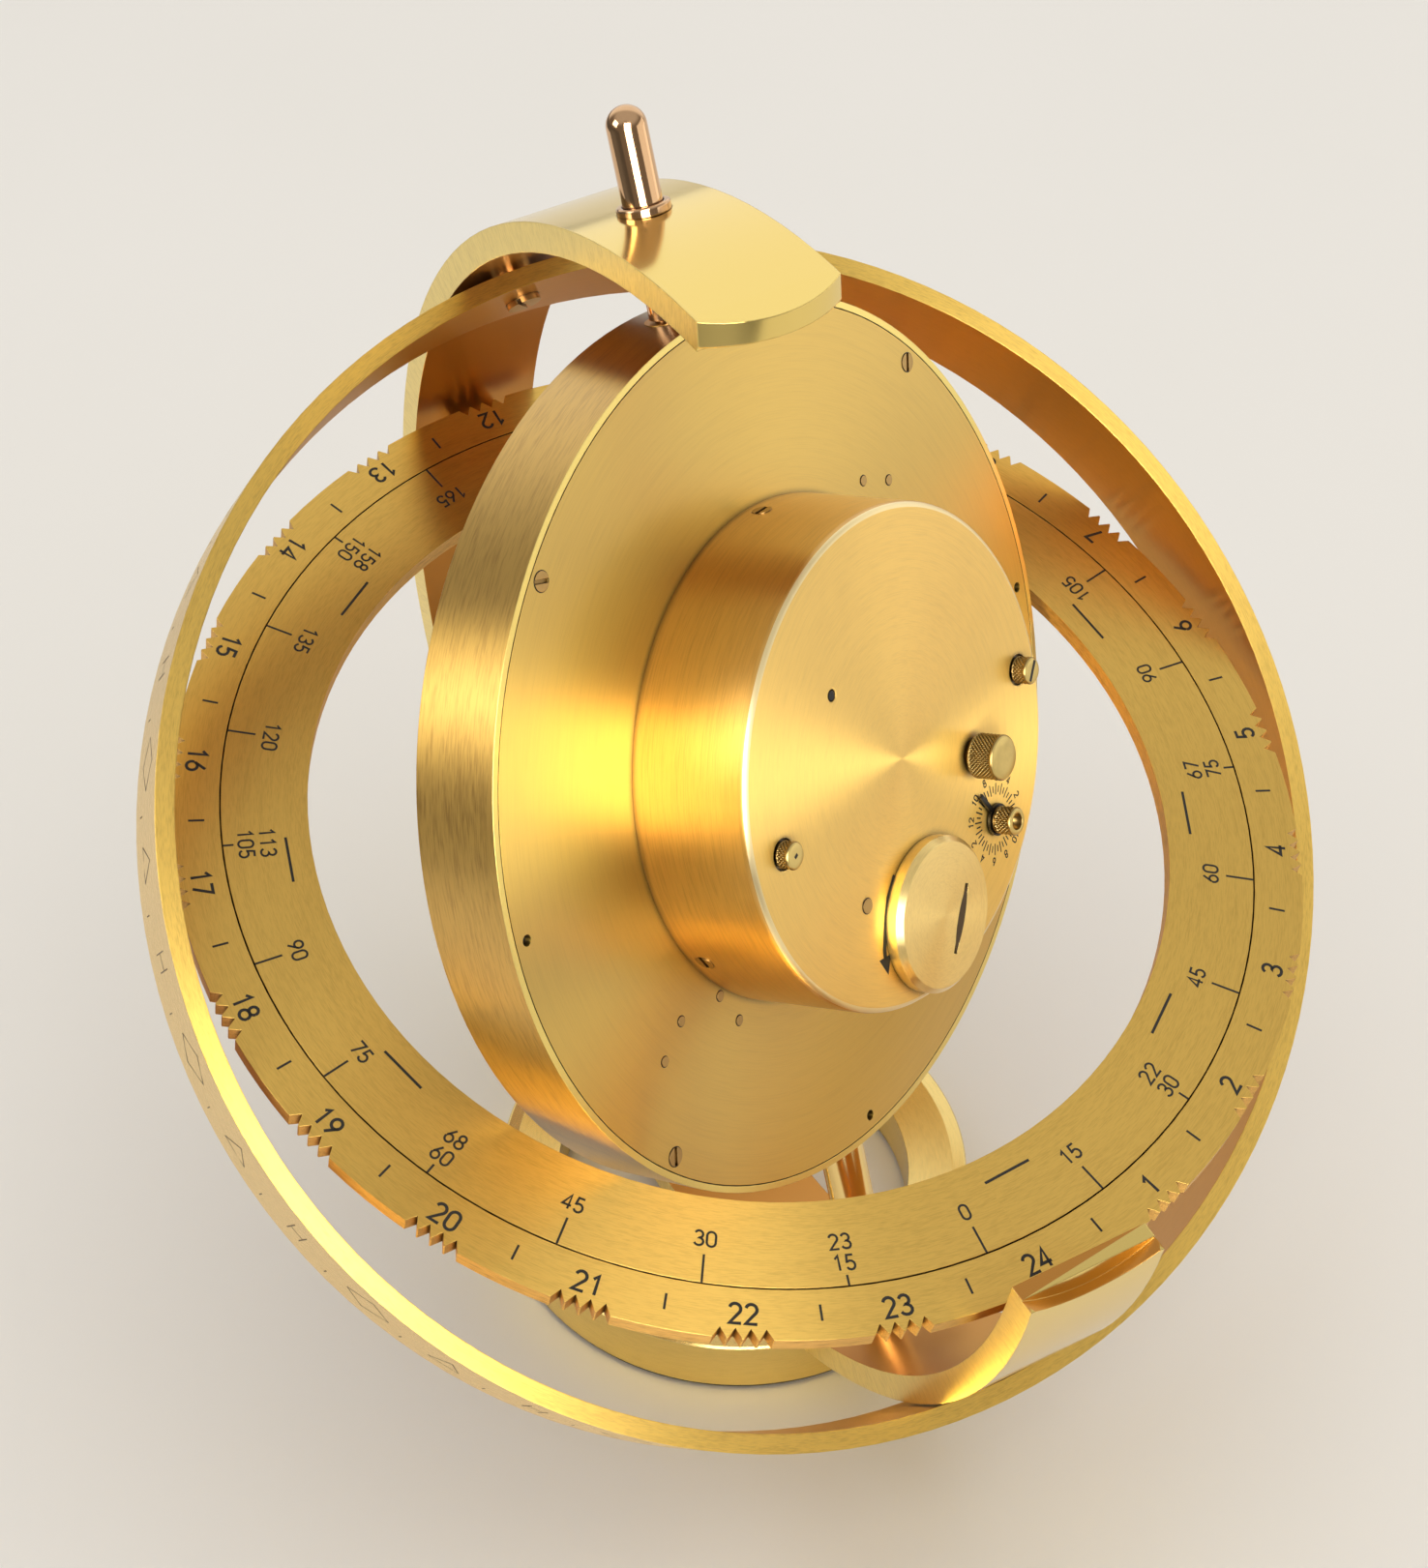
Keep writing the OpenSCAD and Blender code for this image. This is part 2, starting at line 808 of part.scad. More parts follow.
module bracket_half() {
    difference() {
        intersection() {
            rotate([90, 0, 0])
                cylinder(r = arc_in, h = bracket_w, center = true);
            union() {
                translate([bracket_arm_in, -bracket_w / 2, keeper_z - bracket_t])
                    cube([arc_in - bracket_arm_in, bracket_w, bracket_t]);
                difference() {
                    translate([arc_in - 3 * bracket_t, -bracket_w / 2, bracket_foot_z])
                        cube([3 * bracket_t, bracket_w, bracket_h]);
                    rotate([90, 0, 0])
                        cylinder(r = arc_in - bracket_t, h = 2 * bracket_w, center = true);
                }
            }
        }
        translate([bracket_bolt_c, 0, keeper_z - bracket_t - over])
            cylinder(r = screw_r, h = bracket_t + 2 * over);
        rotate([0, bracket_bolt_turn, 0])
            translate([arc_in - bracket_t - over, 0, 0])
                rotate([0, 90, 0]) {
                    cylinder(r = screw_r, h = bracket_t + 2 * over);
                    cylinder(r = bracket_head_r, h = over + seat_d);
                }
    }
}

module midnight_bracket() {
    color("goldenrod")
        in_ring()
            bracket_half();
}

module noon_bracket() {
    color("goldenrod")
        in_ring()
            rotate([0, 0, 180])
                bracket_half();
}

module bracket_screws() {
    color("rosybrown")
        in_ring()
            ring_turns(2, 0) {
                translate([bracket_bolt_c, 0, keeper_z - bracket_t])
                    rotate([180, 0, 0])
                        screw(bracket_head_r, pan_h, screw_r, bracket_t + keeper_t + keeper_bite);
                rotate([0, bracket_bolt_turn, 0])
                    translate([arc_in - bracket_t + seat_d, 0, 0])
                        rotate([0, -90, 0])
                            screw(bracket_head_r, pan_h, screw_r, bracket_t - seat_d + over + arc_t / 2);
            }
}

// swivel pivots
module finial() {
    color("gold")
        on_axis() {
            difference() {
                union() {
                    translate([0, 0, axis_in + over])
                        cylinder(r = stud_r, h = arc_t);
                    translate([0, 0, axis_out - seat_d])
                        rotate_extrude()
                            polygon([[0, 0], [finial_r, 0], [finial_r, finial_h + seat_d - finial_r * 0.6],
                                [finial_r * 0.8, finial_h + seat_d - finial_r * 0.2],
                                [finial_r * 0.4, finial_h + seat_d], [0, finial_h + seat_d]]);
                }
            }
        }
}

module finial_collar() {
    color("goldenrod")
        on_axis()
            translate([0, 0, axis_out - seat_d])
                tube(collar_r, finial_r, collar_h + seat_d);
}

module upper_pivot() {
    color("gold") {
        intersection() {
            on_axis()
                translate([0, 0, head_top + thrust])
                    cylinder(r = pivot_r, h = axis_in - head_top);
            arc_round(arc_in, 2 * arc_w);
        }
        on_axis()
            translate([0, 0, head_top - journal_l])
                cylinder(r = journal_r, h = journal_l + thrust + over);
    }
}

module lower_post() {
    color("gold") {
        difference() {
            intersection() {
                on_axis()
                    translate([0, 0, -axis_out])
                        cylinder(r = post_r, h = axis_out + head_low - thrust);
                arc_round(arc_in, 2 * arc_w);
            }
            on_axis()
                translate([0, 0, -axis_out])
                    cylinder(r = post_screw_r, h = arc_t + 2 * journal_l);
        }
        on_axis()
            translate([0, 0, head_low - thrust - over])
                cylinder(r = journal_r, h = journal_l + thrust + over);
    }
}

module post_screw() {
    color("rosybrown")
        on_axis()
            translate([0, 0, -axis_out + seat_d])
                rotate([180, 0, 0])
                    screw(post_head_r, pan_h, post_screw_r, arc_t + journal_l);
}

// clock case
module case_band() {
    color("darkgoldenrod")
        difference() {
            in_head()
                difference() {
                    rotate_extrude($fn = 180)
                        polygon([[case_in, front_z], [case_r - edge_cut, front_z],
                            [case_r, front_z + edge_cut], [case_r, back_z], [seat_r, back_z],
                            [seat_r, plate_z], [flange_in, plate_z], [flange_in, flange_z],
                            [case_in, flange_z]]);
                    ring_turns(4, 45)
                        translate([plate_screw_r, 0, flange_z - over])
                            cylinder(r = keeper_screw_r, h = flange_t + 2 * over);
                }
            on_axis() {
                translate([0, 0, head_top - bush_l])
                    cylinder(r = journal_r + bush_wall, h = bush_l + over);
                translate([0, 0, head_low - over])
                    cylinder(r = journal_r + bush_wall, h = bush_l + over);
            }
        }
}

module upper_bush() {
    color("goldenrod")
        on_axis()
            translate([0, 0, head_top - bush_l])
                tube(journal_r + bush_wall, journal_r + run_gap, bush_l);
}

module lower_bush() {
    color("goldenrod")
        on_axis()
            translate([0, 0, head_low])
                tube(journal_r + bush_wall, journal_r + run_gap, bush_l);
}

module front_bezel() {
    color("gold")
        in_head()
            rotate_extrude($fn = 180)
                polygon([[bezel_in + edge_cut, front_z], [case_in, front_z], [case_in, bezel_z],
                    [glass_r, bezel_z], [glass_r, glass_z], [bezel_in, glass_z],
                    [bezel_in, front_z + edge_cut]]);
}

module crystal() {
    color("lightblue", 0.35)
        in_head()
            translate([0, 0, glass_z])
                cylinder(r = glass_r, h = glass_t);
}

module crystal_gasket() {
    color("dimgray")
        in_head()
            translate([0, 0, gasket_z])
                tube(glass_r, glass_r - gasket_w, bezel_z - gasket_z);
}

module dial_plate() {
    color("white")
        difference() {
            in_head()
                difference() {
                    translate([0, 0, dial_z])
                        cylinder(r = case_in, h = dial_t);
                    translate([0, 0, dial_z - over]) {
                        cylinder(r = tube_r + run_gap, h = dial_t + 2 * over);
                        translate([date_x, date_y, 0])
                            cylinder(r = stem_r + run_gap, h = dial_t + 2 * over);
                        translate([month_x, month_y, 0])
                            cylinder(r = stem_r + run_gap, h = dial_t + 2 * over);
                    }
                }
            on_axis() {
                translate([0, 0, head_top - bush_l])
                    cylinder(r = journal_r + bush_wall, h = bush_l);
                translate([0, 0, head_low])
                    cylinder(r = journal_r + bush_wall, h = bush_l);
            }
        }
}

module dial_marks() {
    color("gold")
        in_head() {
            ring_turns(12, 0)
                translate([-mark_w / 2, mark_r - mark_l, dial_z - mark_t])
                    cube([mark_w, mark_l, mark_t]);
        }
}

module pin_places() {
    for (i = [0:len(pin_turns) - 1])
        rotate([0, 0, pin_turns[i]])
            translate([can_r + pin_near + pin_shares[i] * (case_r - can_r - pin_near), 0, 0])
                children();
}

module rear_plate() {
    color("goldenrod")
        in_head()
            difference() {
                union() {
                    translate([0, 0, plate_z])
                        tube(plate_r, plate_hole, plate_t);
                    translate([0, 0, plate_z])
                        tube(collar_out, plate_hole, plate_t + collar_top);
                }
                ring_turns(4, 45) {
                    translate([plate_screw_r, 0, plate_z - over])
                        cylinder(r = keeper_screw_r, h = plate_t + 2 * over);
                    translate([plate_screw_r, 0, back_z - seat_d * 2])
                        cylinder(r = plate_head_r, h = plate_t);
                }
                ring_turns(4, 0)
                    translate([plate_screw_r, 0, back_z - hole_d])
                        cylinder(r = hole_r, h = plate_t);
                pin_places()
                    translate([0, 0, plate_z - over])
                        cylinder(r = pin_r, h = plate_t + 2 * over);
                can_bolts(can_screw_r);
            }
}

module plate_screws() {
    color("rosybrown")
        in_head()
            ring_turns(4, 45)
                translate([plate_screw_r, 0, back_z - 2 * seat_d])
                    rotate([0, 0, 30])
                        screw(plate_head_r, 2 * seat_d + pin_out, keeper_screw_r, plate_t + over);
}

module plate_pins_set() {
    color("rosybrown")
        in_head()
            pin_places()
                translate([0, 0, plate_z])
                    cylinder(r = pin_r, h = plate_t + pin_out);
}

// rear can
module can_bolts(radius) {
    for (a = can_turns)
        rotate([0, 0, a])
            translate([collar_in - over, 0, back_z + can_screw_h])
                rotate([0, 90, 0])
                    cylinder(r = radius, h = can_r - collar_in - can_head_t + over);
}

module rear_can() {
    color("darkgoldenrod")
        in_head()
            difference() {
                rotate_extrude($fn = 180)
                    polygon([[can_in, back_z], [can_r, back_z],
                        [can_top_r, can_z - can_round],
                        [can_top_r - can_round * 0.1, can_z - can_round * 0.6],
                        [can_top_r - can_round * 0.3, can_z - can_round * 0.3],
                        [can_top_r - can_round * 0.6, can_z - can_round * 0.1],
                        [can_top_r - can_round, can_z],
                        [0, can_z], [0, can_inner_z], [can_in, can_inner_z]]);
                can_bolts(can_screw_r);
                for (a = can_turns)
                    rotate([0, 0, a])
                        translate([can_r - can_head_t, 0, back_z + can_screw_h])
                            rotate([0, 90, 0])
                                cylinder(r = can_head_r, h = 2 * can_head_t);
                translate([eye_pos[0], eye_pos[1], can_inner_z - over])
                    cylinder(r = eye_r, h = can_face_t + 2 * over);
                translate([plug_pos[0], plug_pos[1], can_z - plug_d])
                    cylinder(r = plug_r, h = plug_d + over);
                translate([time_x, time_y, can_inner_z - over])
                    cylinder(r = stem_collar_r, h = can_face_t + 2 * over);
                translate([date_x, date_y, can_inner_z - over]) {
                    cylinder(r = stem_r + run_gap, h = can_face_t + 2 * over);
                    translate([0, 0, can_face_t + over - knob_seat])
                        cylinder(r = date_r + knob_seat_gap, h = knob_seat + over);
                }
                translate([month_x, month_y, can_inner_z - over]) {
                    cylinder(r = stem_r + run_gap, h = can_face_t + 2 * over);
                    translate([0, 0, can_face_t + over - knob_seat])
                        cylinder(r = month_r + knob_seat_gap, h = knob_seat + over);
                }
                translate([point_x, point_y, can_inner_z - over])
                    cylinder(r = stem_r + run_gap, h = can_face_t + 2 * over);
                translate([cap_x, cap_y, can_inner_z - over])
                    cylinder(r = spigot_r + run_gap, h = can_face_t + 2 * over);
            }
}

module can_screws() {
    color("rosybrown")
        in_head()
            for (a = can_turns)
                rotate([0, 0, a])
                    translate([can_r - can_head_t, 0, back_z + can_screw_h])
                        rotate([0, 90, 0])
                            rotate([0, 0, 90])
                                screw(can_head_r, can_head_t, can_screw_r, can_wall);
}

module can_plug() {
    color("rosybrown")
        in_head()
            translate([plug_pos[0], plug_pos[1], can_z - plug_d])
                cylinder(r = plug_r, h = plug_d + pin_out);
}

// movement
module movement_front_plate() {
    color("goldenrod")
        in_head()
            difference() {
                translate([0, 0, front_plate_z])
                    cylinder(r = move_r, h = move_t);
                translate([0, 0, front_plate_z - over]) {
                    cylinder(r = arbor_r + run_gap, h = move_t + 2 * over);
                    translate([wheel_x, wheel_y, 0])
                        cylinder(r = wheel_post_r, h = move_t + 2 * over);
                    translate([time_x, time_y, 0])
                        cylinder(r = arbor_r + run_gap, h = move_t + 2 * over);
                    translate([date_x, date_y, 0])
                        cylinder(r = stem_r + run_gap, h = move_t + 2 * over);
                    translate([month_x, month_y, 0])
                        cylinder(r = stem_r + run_gap, h = move_t + 2 * over);
                    for (a = pillar_turns)
                        rotate([0, 0, a])
                            translate([pillar_c, 0, 0])
                                cylinder(r = pillar_r, h = move_t + 2 * over);
                }
            }
}

module movement_rear_plate() {
    color("goldenrod")
        in_head()
            difference() {
                translate([0, 0, rear_plate_z])
                    cylinder(r = move_r, h = move_t);
                translate([0, 0, rear_plate_z - over]) {
                    cylinder(r = arbor_r + run_gap, h = move_t + 2 * over);
                    translate([time_x, time_y, 0])
                        cylinder(r = arbor_r + run_gap, h = move_t + 2 * over);
                    translate([date_x, date_y, 0])
                        cylinder(r = stem_r + run_gap, h = move_t + 2 * over);
                    translate([month_x, month_y, 0])
                        cylinder(r = stem_r + run_gap, h = move_t + 2 * over);
                    translate([cap_x, cap_y, 0])
                        cylinder(r = cell_r + cell_gap + tube_wall, h = move_t + 2 * over);
                    for (a = pillar_turns)
                        rotate([0, 0, a])
                            translate([pillar_c, 0, 0])
                                cylinder(r = pillar_r, h = move_t + 2 * over);
                }
            }
}

module pillars() {
    color("silver")
        in_head()
            for (a = pillar_turns)
                rotate([0, 0, a])
                    translate([pillar_c, 0, dial_back])
                        cylinder(r = pillar_r, h = pillar_top - dial_back);
}

module coil_bar() {
    translate([-core_l / 2, coil_y - core_w / 2, core_z])
        cube([core_l, core_w, core_w]);
}

module coil() {
    color("sienna")
        in_head()
            difference() {
                translate([-coil_l / 2, coil_y, core_z + core_w / 2])
                    rotate([0, 90, 0])
                        cylinder(r = coil_r, h = coil_l);
                coil_bar();
            }
}

module coil_core() {
    color("silver")
        in_head() {
            coil_bar();
            for (side = [-1, 1])
                translate([side * (core_l - core_leg) / 2, coil_y, front_plate_z + move_t])
                    translate([-core_leg / 2, -core_w / 2, 0])
                        cube([core_leg, core_w, core_z - front_plate_z - move_t + over]);
        }
}

module circuit_board() {
    color("darkgreen")
        in_head()
            translate([board_pos[0], board_pos[1], rear_plate_z - board[2]]) {
                cube(board);
                translate([board[0] / 4, board[1] / 3, -chip[2]])
                    cube([chip[0], chip[1], chip[2] + hair]);
            }
}

module battery_tube() {
    color("silver")
        in_head()
            translate([cap_x, cap_y, 0])
                difference() {
                    translate([0, 0, tube_bottom])
                        cylinder(r = cell_r + cell_gap + tube_wall, h = tube_top - tube_bottom);
                    translate([0, 0, tube_bottom + tube_wall])
                        cylinder(r = cell_r + cell_gap, h = tube_top);
                }
}

module contact_spring() {
    color("silver")
        in_head()
            translate([cap_x, cap_y, tube_bottom + tube_wall])
                tube(cell_r / 2, cell_r / 2 - tube_wall, spring_t);
}

module battery_cell() {
    color("dimgray")
        in_head()
            translate([cap_x, cap_y, cell_z])
                cylinder(r = cell_r, h = cell_l);
}

module battery_cap() {
    color("gold")
        in_head()
            translate([cap_x, cap_y, 0])
                difference() {
                    union() {
                        rotate_extrude()
                            polygon([[0, can_inner_z + 3 * run_gap], [spigot_r, can_inner_z + 3 * run_gap],
                                [spigot_r, can_z + run_gap], [cap_r, can_z + run_gap],
                                [cap_r, can_z + cap_h - cap_chamfer],
                                [cap_r - cap_chamfer, can_z + cap_h], [0, can_z + cap_h]]);
                    }
                    rotate([0, 0, -34])
                        translate([coin_off - coin_w / 2, -coin_l / 2, can_z + cap_h * 0.6])
                            cube([coin_w, coin_l, cap_h]);
                }
}

// hands and motion work
module wheel_post() {
    color("silver")
        in_head()
            translate([wheel_x, wheel_y, 0]) {
                translate([0, 0, gear_front_z])
                    cylinder(r = wheel_post_r, h = front_plate_z + move_t - gear_front_z);
                translate([0, 0, wheel_z + wheel_t + wheel_post_gap])
                    cylinder(r = wheel_post_foot, h = front_plate_z - wheel_z - wheel_t - wheel_post_gap);
            }
}

module cannon_pinion() {
    color("silver")
        in_head() {
            translate([0, 0, hand_minute_z + hand_t])
                cylinder(r = arbor_r, h = rear_plate_z + move_t - hand_minute_z - hand_t);
            translate([0, 0, wheel_z - pinion_extra])
                gear(mod_a, teeth_small, 0, wheel_t + 2 * pinion_extra, 0);
        }
}

module minute_hand() {
    color("black")
        in_head()
            translate([0, 0, hand_minute_z])
                rotate([0, 0, rest_minute * 6])
                    hand(minute_len, hand_w, hand_w * 0.8);
}

module hour_wheel() {
    color("goldenrod")
        in_head()
            difference() {
                union() {
                    translate([0, 0, gear_front_z])
                        gear(mod_b, teeth_hour, hour_phase, hour_wheel_t, 0);
                    translate([0, 0, hand_hour_z + hand_t])
                        cylinder(r = tube_r, h = gear_front_z - hand_hour_z - hand_t + over);
                }
                translate([0, 0, hand_hour_z])
                    cylinder(r = arbor_r + run_gap, h = wheel_z - hand_hour_z);
            }
}

module hour_hand() {
    color("black")
        in_head()
            translate([0, 0, hand_hour_z])
                rotate([0, 0, rest_hour * 30 + rest_minute / 2])
                    difference() {
                        hand(hour_len, hand_w * 1.3, hand_w);
                        translate([0, 0, -over])
                            cylinder(r = arbor_r + run_gap, h = hand_t + 2 * over);
                    }
}

module minute_wheel() {
    color("goldenrod")
        in_head()
            translate([wheel_x, wheel_y, 0]) {
                translate([0, 0, wheel_z])
                    gear(mod_a, teeth_big, wheel_phase, wheel_t, wheel_post_r + run_gap);
                translate([0, 0, gear_front_z])
                    gear(mod_b, teeth_leaf, 0, wheel_z - gear_front_z + hair, wheel_post_r + run_gap);
            }
}

module setting_arbor() {
    color("silver")
        in_head()
            translate([time_x, time_y, 0]) {
                translate([0, 0, wheel_z - pinion_extra])
                    gear(mod_a, teeth_small, set_phase, wheel_t + 2 * pinion_extra, 0);
                translate([0, 0, wheel_z])
                    cylinder(r = arbor_r, h = can_z + knob_lift - wheel_z);
            }
}

module time_knob() {
    color("darkgoldenrod")
        in_head()
            translate([time_x, time_y, can_z + knob_lift])
                knob(time_r, time_h, false);
}

module date_stem() {
    color("silver")
        in_head()
            translate([date_x, date_y, 0]) {
                translate([0, 0, hand_small_z + hand_t])
                    cylinder(r = stem_r, h = can_z - knob_seat + knob_lift - hand_small_z - hand_t);
                translate([0, 0, can_inner_z - 2 * stem_collar_t])
                    cylinder(r = stem_collar_r, h = stem_collar_t);
            }
}

module date_knob() {
    color("darkgoldenrod")
        in_head()
            translate([date_x, date_y, can_z - knob_seat + knob_lift])
                knob(date_r, date_h + knob_seat - knob_lift, true);
}

module date_hand() {
    color("black")
        in_head()
            translate([date_x, date_y, hand_small_z])
                rotate([0, 0, (rest_date - 1) * 360 / 31])
                    hand(small_len, hand_w / 2, stem_r + hand_t);
}

module month_stem() {
    color("silver")
        in_head()
            translate([month_x, month_y, 0]) {
                translate([0, 0, hand_small_z + hand_t])
                    cylinder(r = stem_r, h = can_z - knob_seat + knob_lift - hand_small_z - hand_t);
                translate([0, 0, can_inner_z - 2 * stem_collar_t])
                    cylinder(r = stem_collar_r, h = stem_collar_t);
            }
}

module month_knob() {
    color("darkgoldenrod")
        in_head()
            translate([month_x, month_y, can_z - knob_seat + knob_lift])
                rotate([0, 0, 20])
                    knob(month_r, month_h + knob_seat - knob_lift, true);
}

module month_hand() {
    color("black")
        in_head()
            translate([month_x, month_y, hand_small_z])
                rotate([0, 0, (rest_month - 1) * 30])
                    hand(small_len, hand_w / 2, stem_r + hand_t);
}

module pointer_knob() {
    color("darkgoldenrod")
        in_head()
            translate([point_x, point_y, 0]) {
                translate([0, 0, can_z + knob_lift + hand_t])
                    difference() {
                        knob(point_r, point_h, false);
                        translate([0, 0, point_h / 2])
                            cylinder(r = point_bore, h = point_h);
                    }
                translate([0, 0, can_inner_z - stem_collar_t])
                    cylinder(r = stem_r, h = can_face_t + stem_collar_t + knob_lift + hand_t + hair);
                translate([0, 0, can_inner_z - 2 * stem_collar_t])
                    cylinder(r = stem_collar_r, h = stem_collar_t);
            }
}

module pointer() {
    color("black")
        in_head()
            translate([point_x, point_y, can_z + knob_lift])
                difference() {
                    union() {
                        cylinder(r = point_r + hand_t, h = hand_t);
                        rotate([0, 0, point_turn])
                            translate([-point_w / 2, 0, 0])
                                cube([point_w, point_len + point_r, hand_t]);
                    }
                    translate([0, 0, -over])
                        cylinder(r = stem_r, h = hand_t + 2 * over);
                }
}

base_pad();
base_ring();
base_screws();
meridian_arc();
outer_band();
band_spacers();
band_screws();
city_ring();
keeper_ring();
keeper_screws();
hour_ring();
noon_bracket();
midnight_bracket();
bracket_screws();
finial();
finial_collar();
upper_pivot();
lower_post();
post_screw();
case_band();
upper_bush();
lower_bush();
front_bezel();
crystal();
crystal_gasket();
dial_plate();
dial_marks();
rear_plate();
plate_screws();
plate_pins_set();
rear_can();
can_screws();
can_plug();
movement_front_plate();
movement_rear_plate();
pillars();
coil();
coil_core();
circuit_board();
battery_tube();
contact_spring();
battery_cell();
battery_cap();
wheel_post();
cannon_pinion();
minute_hand();
hour_wheel();
hour_hand();
minute_wheel();
setting_arbor();
time_knob();
date_stem();
date_knob();
date_hand();
month_stem();
month_knob();
month_hand();
pointer_knob();
pointer();
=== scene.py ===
import math
from functools import partial

import bmesh
import bpy
import numpy as np
from mathutils import Matrix


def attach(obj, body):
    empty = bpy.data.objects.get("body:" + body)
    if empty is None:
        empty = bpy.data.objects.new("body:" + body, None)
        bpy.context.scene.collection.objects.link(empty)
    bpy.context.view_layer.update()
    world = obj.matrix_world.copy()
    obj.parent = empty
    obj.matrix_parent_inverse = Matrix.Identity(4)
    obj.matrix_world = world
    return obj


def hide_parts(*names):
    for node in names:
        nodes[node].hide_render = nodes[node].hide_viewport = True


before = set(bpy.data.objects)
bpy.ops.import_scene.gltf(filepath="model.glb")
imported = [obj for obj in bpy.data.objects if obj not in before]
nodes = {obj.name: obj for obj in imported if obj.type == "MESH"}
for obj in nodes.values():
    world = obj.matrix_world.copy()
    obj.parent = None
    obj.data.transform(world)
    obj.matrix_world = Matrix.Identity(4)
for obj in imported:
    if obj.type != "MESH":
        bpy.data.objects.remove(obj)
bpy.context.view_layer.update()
print("stage: frame loaded")

metre = 0.001
weldGap = 1e-7


# places, in millimetres: each is a turn matrix with an origin
def turnY(deg):
    # x' = c x + s z, z' = c z - s x, with c and s the cosine and sine of the angle
    c, s = math.cos(math.radians(deg)), math.sin(math.radians(deg))
    return np.array([[c, 0, s], [0, 1, 0], [-s, 0, c]])


def turnZ(deg):
    # x' = c x - s y, y' = s x + c y
    c, s = math.cos(math.radians(deg)), math.sin(math.radians(deg))
    return np.array([[c, -s, 0], [s, c, 0], [0, 0, 1]])


layout = dict(arcHeight=116.4, ringTilt=14.8, bandTilt=39.3, bandShift=5.7, bandDrop=4.65, axisLean=-24,
              axisShift=10.2, headRise=14.05, headTurn=24.3)
arcCentre = np.array([0, 0, layout["arcHeight"]])
ringPlace = (turnY(layout["ringTilt"]), arcCentre)
bandTurn = turnY(layout["bandTilt"])
bandPlace = (bandTurn, arcCentre + bandTurn @ np.array([layout["bandShift"], 0, -layout["bandDrop"]]))
axisTurn = turnY(layout["axisLean"])
axisOrigin = arcCentre + axisTurn @ np.array([layout["axisShift"], 0, 0])
axisPlace = (axisTurn, axisOrigin)
headCentre = axisOrigin + axisTurn @ np.array([0, 0, layout["headRise"]])
headPlace = (axisTurn @ turnZ(layout["headTurn"]) @ np.array([[0, 0, 1], [1, 0, 0], [0, 1, 0]]), headCentre)


def addMesh(name, points, faces, place, body, material, smooth=True, weld=False, flip=False):
    # world point = turn * point + origin; weld joins the points that share a place, as at a pole
    turn, origin = place
    world = (np.asarray(points, float) @ turn.T + origin) * metre
    mesh = bpy.data.meshes.new(name)
    mesh.from_pydata(world.tolist(), [], faces)
    mesh.polygons.foreach_set("use_smooth", [smooth] * len(mesh.polygons))
    mesh.materials.append(material)
    if weld:
        work = bmesh.new()
        work.from_mesh(mesh)
        bmesh.ops.remove_doubles(work, verts=work.verts, dist=weldGap)
        work.to_mesh(mesh)
        work.free()
    if flip:
        mesh.flip_normals()
    mesh.update()
    obj = bpy.data.objects.new(name, mesh)
    bpy.context.scene.collection.objects.link(obj)
    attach(obj, body)
    return obj


def gridFaces(rows, cols, wrapRows, wrapCols):
    # the face (i, j) joins the points i*cols+j, (i+1)*cols+j, (i+1)*cols+j+1 and i*cols+j+1
    i, j = np.meshgrid(np.arange(rows if wrapRows else rows - 1),
                       np.arange(cols if wrapCols else cols - 1), indexing="ij")
    a, b = (i + 1) % rows, (j + 1) % cols
    quads = np.stack([i * cols + j, a * cols + j, a * cols + b, i * cols + b], -1)
    return quads.reshape(-1, 4).tolist()


def rounded(points, radii, steps, limit=0.4, lead=0.2):
    # each corner p becomes an arc of its radius, whose centre is r / sin(half the corner's angle) from p,
    # with one support point on each side so that flats stay flat when shaded smooth
    pts = [np.array(p, float) for p in points]
    out = []
    for k, p in enumerate(pts):
        u, v = pts[k - 1] - p, pts[(k + 1) % len(pts)] - p
        lu, lv = np.linalg.norm(u), np.linalg.norm(v)
        u, v = u / lu, v / lv
        half = math.acos(float(np.clip(u @ v, -1, 1))) / 2
        cut = min(radii[k] / math.tan(half), limit * lu, limit * lv)
        r = cut * math.tan(half)
        mid = p + (u + v) / np.linalg.norm(u + v) * r / math.sin(half)
        start, end = p + u * cut - mid, p + v * cut - mid
        out.append(mid + start + u * lead * cut)
        sweep = math.pi - 2 * half
        for t in np.linspace(0, 1, steps + 1):
            arm = math.sin((1 - t) * sweep) * start + math.sin(t * sweep) * end
            out.append(mid + arm / math.sin(sweep))
        out.append(mid + end + v * lead * cut)
    return np.array(out)


def latheGrid(profile, count, closed=True):
    # point(i, j) = (r_j cos a_i, r_j sin a_i, z_j)
    a = np.radians(np.linspace(0, 360, count, endpoint=False))
    r, z = np.asarray(profile)[:, 0], np.asarray(profile)[:, 1]
    grid = np.stack([np.cos(a)[:, None] * r, np.sin(a)[:, None] * r,
                     np.ones(len(a))[:, None] * z], -1)
    return grid.reshape(-1, 3), gridFaces(len(a), len(r), True, closed)


print("stage: tools ready")


def linear(code):
    # each share c becomes c / 12.92 up to 0.04045, and ((c + 0.055) / 1.055) ^ 2.4 above it
    parts = [int(code[k:k + 2], 16) / 255 for k in (1, 3, 5)]
    return tuple(c / 12.92 if c <= 0.04045 else ((c + 0.055) / 1.055) ** 2.4 for c in parts) + (1,)


def setInputs(tree, node, inputs):
    # each input gets its plain value, or a link from another node's output
    for key, value in inputs.items():
        if isinstance(value, bpy.types.NodeSocket):
            tree.links.new(value, node.inputs[key])
        else:
            node.inputs[key].default_value = value


def addNode(tree, kind, inputs, out=0, **settings):
    # a node of the kind with its settings and links, of which one output is handed back
    node = tree.nodes.new("ShaderNode" + kind)
    for key, value in settings.items():
        setattr(node, key, value)
    setInputs(tree, node, inputs)
    return node.outputs[out]


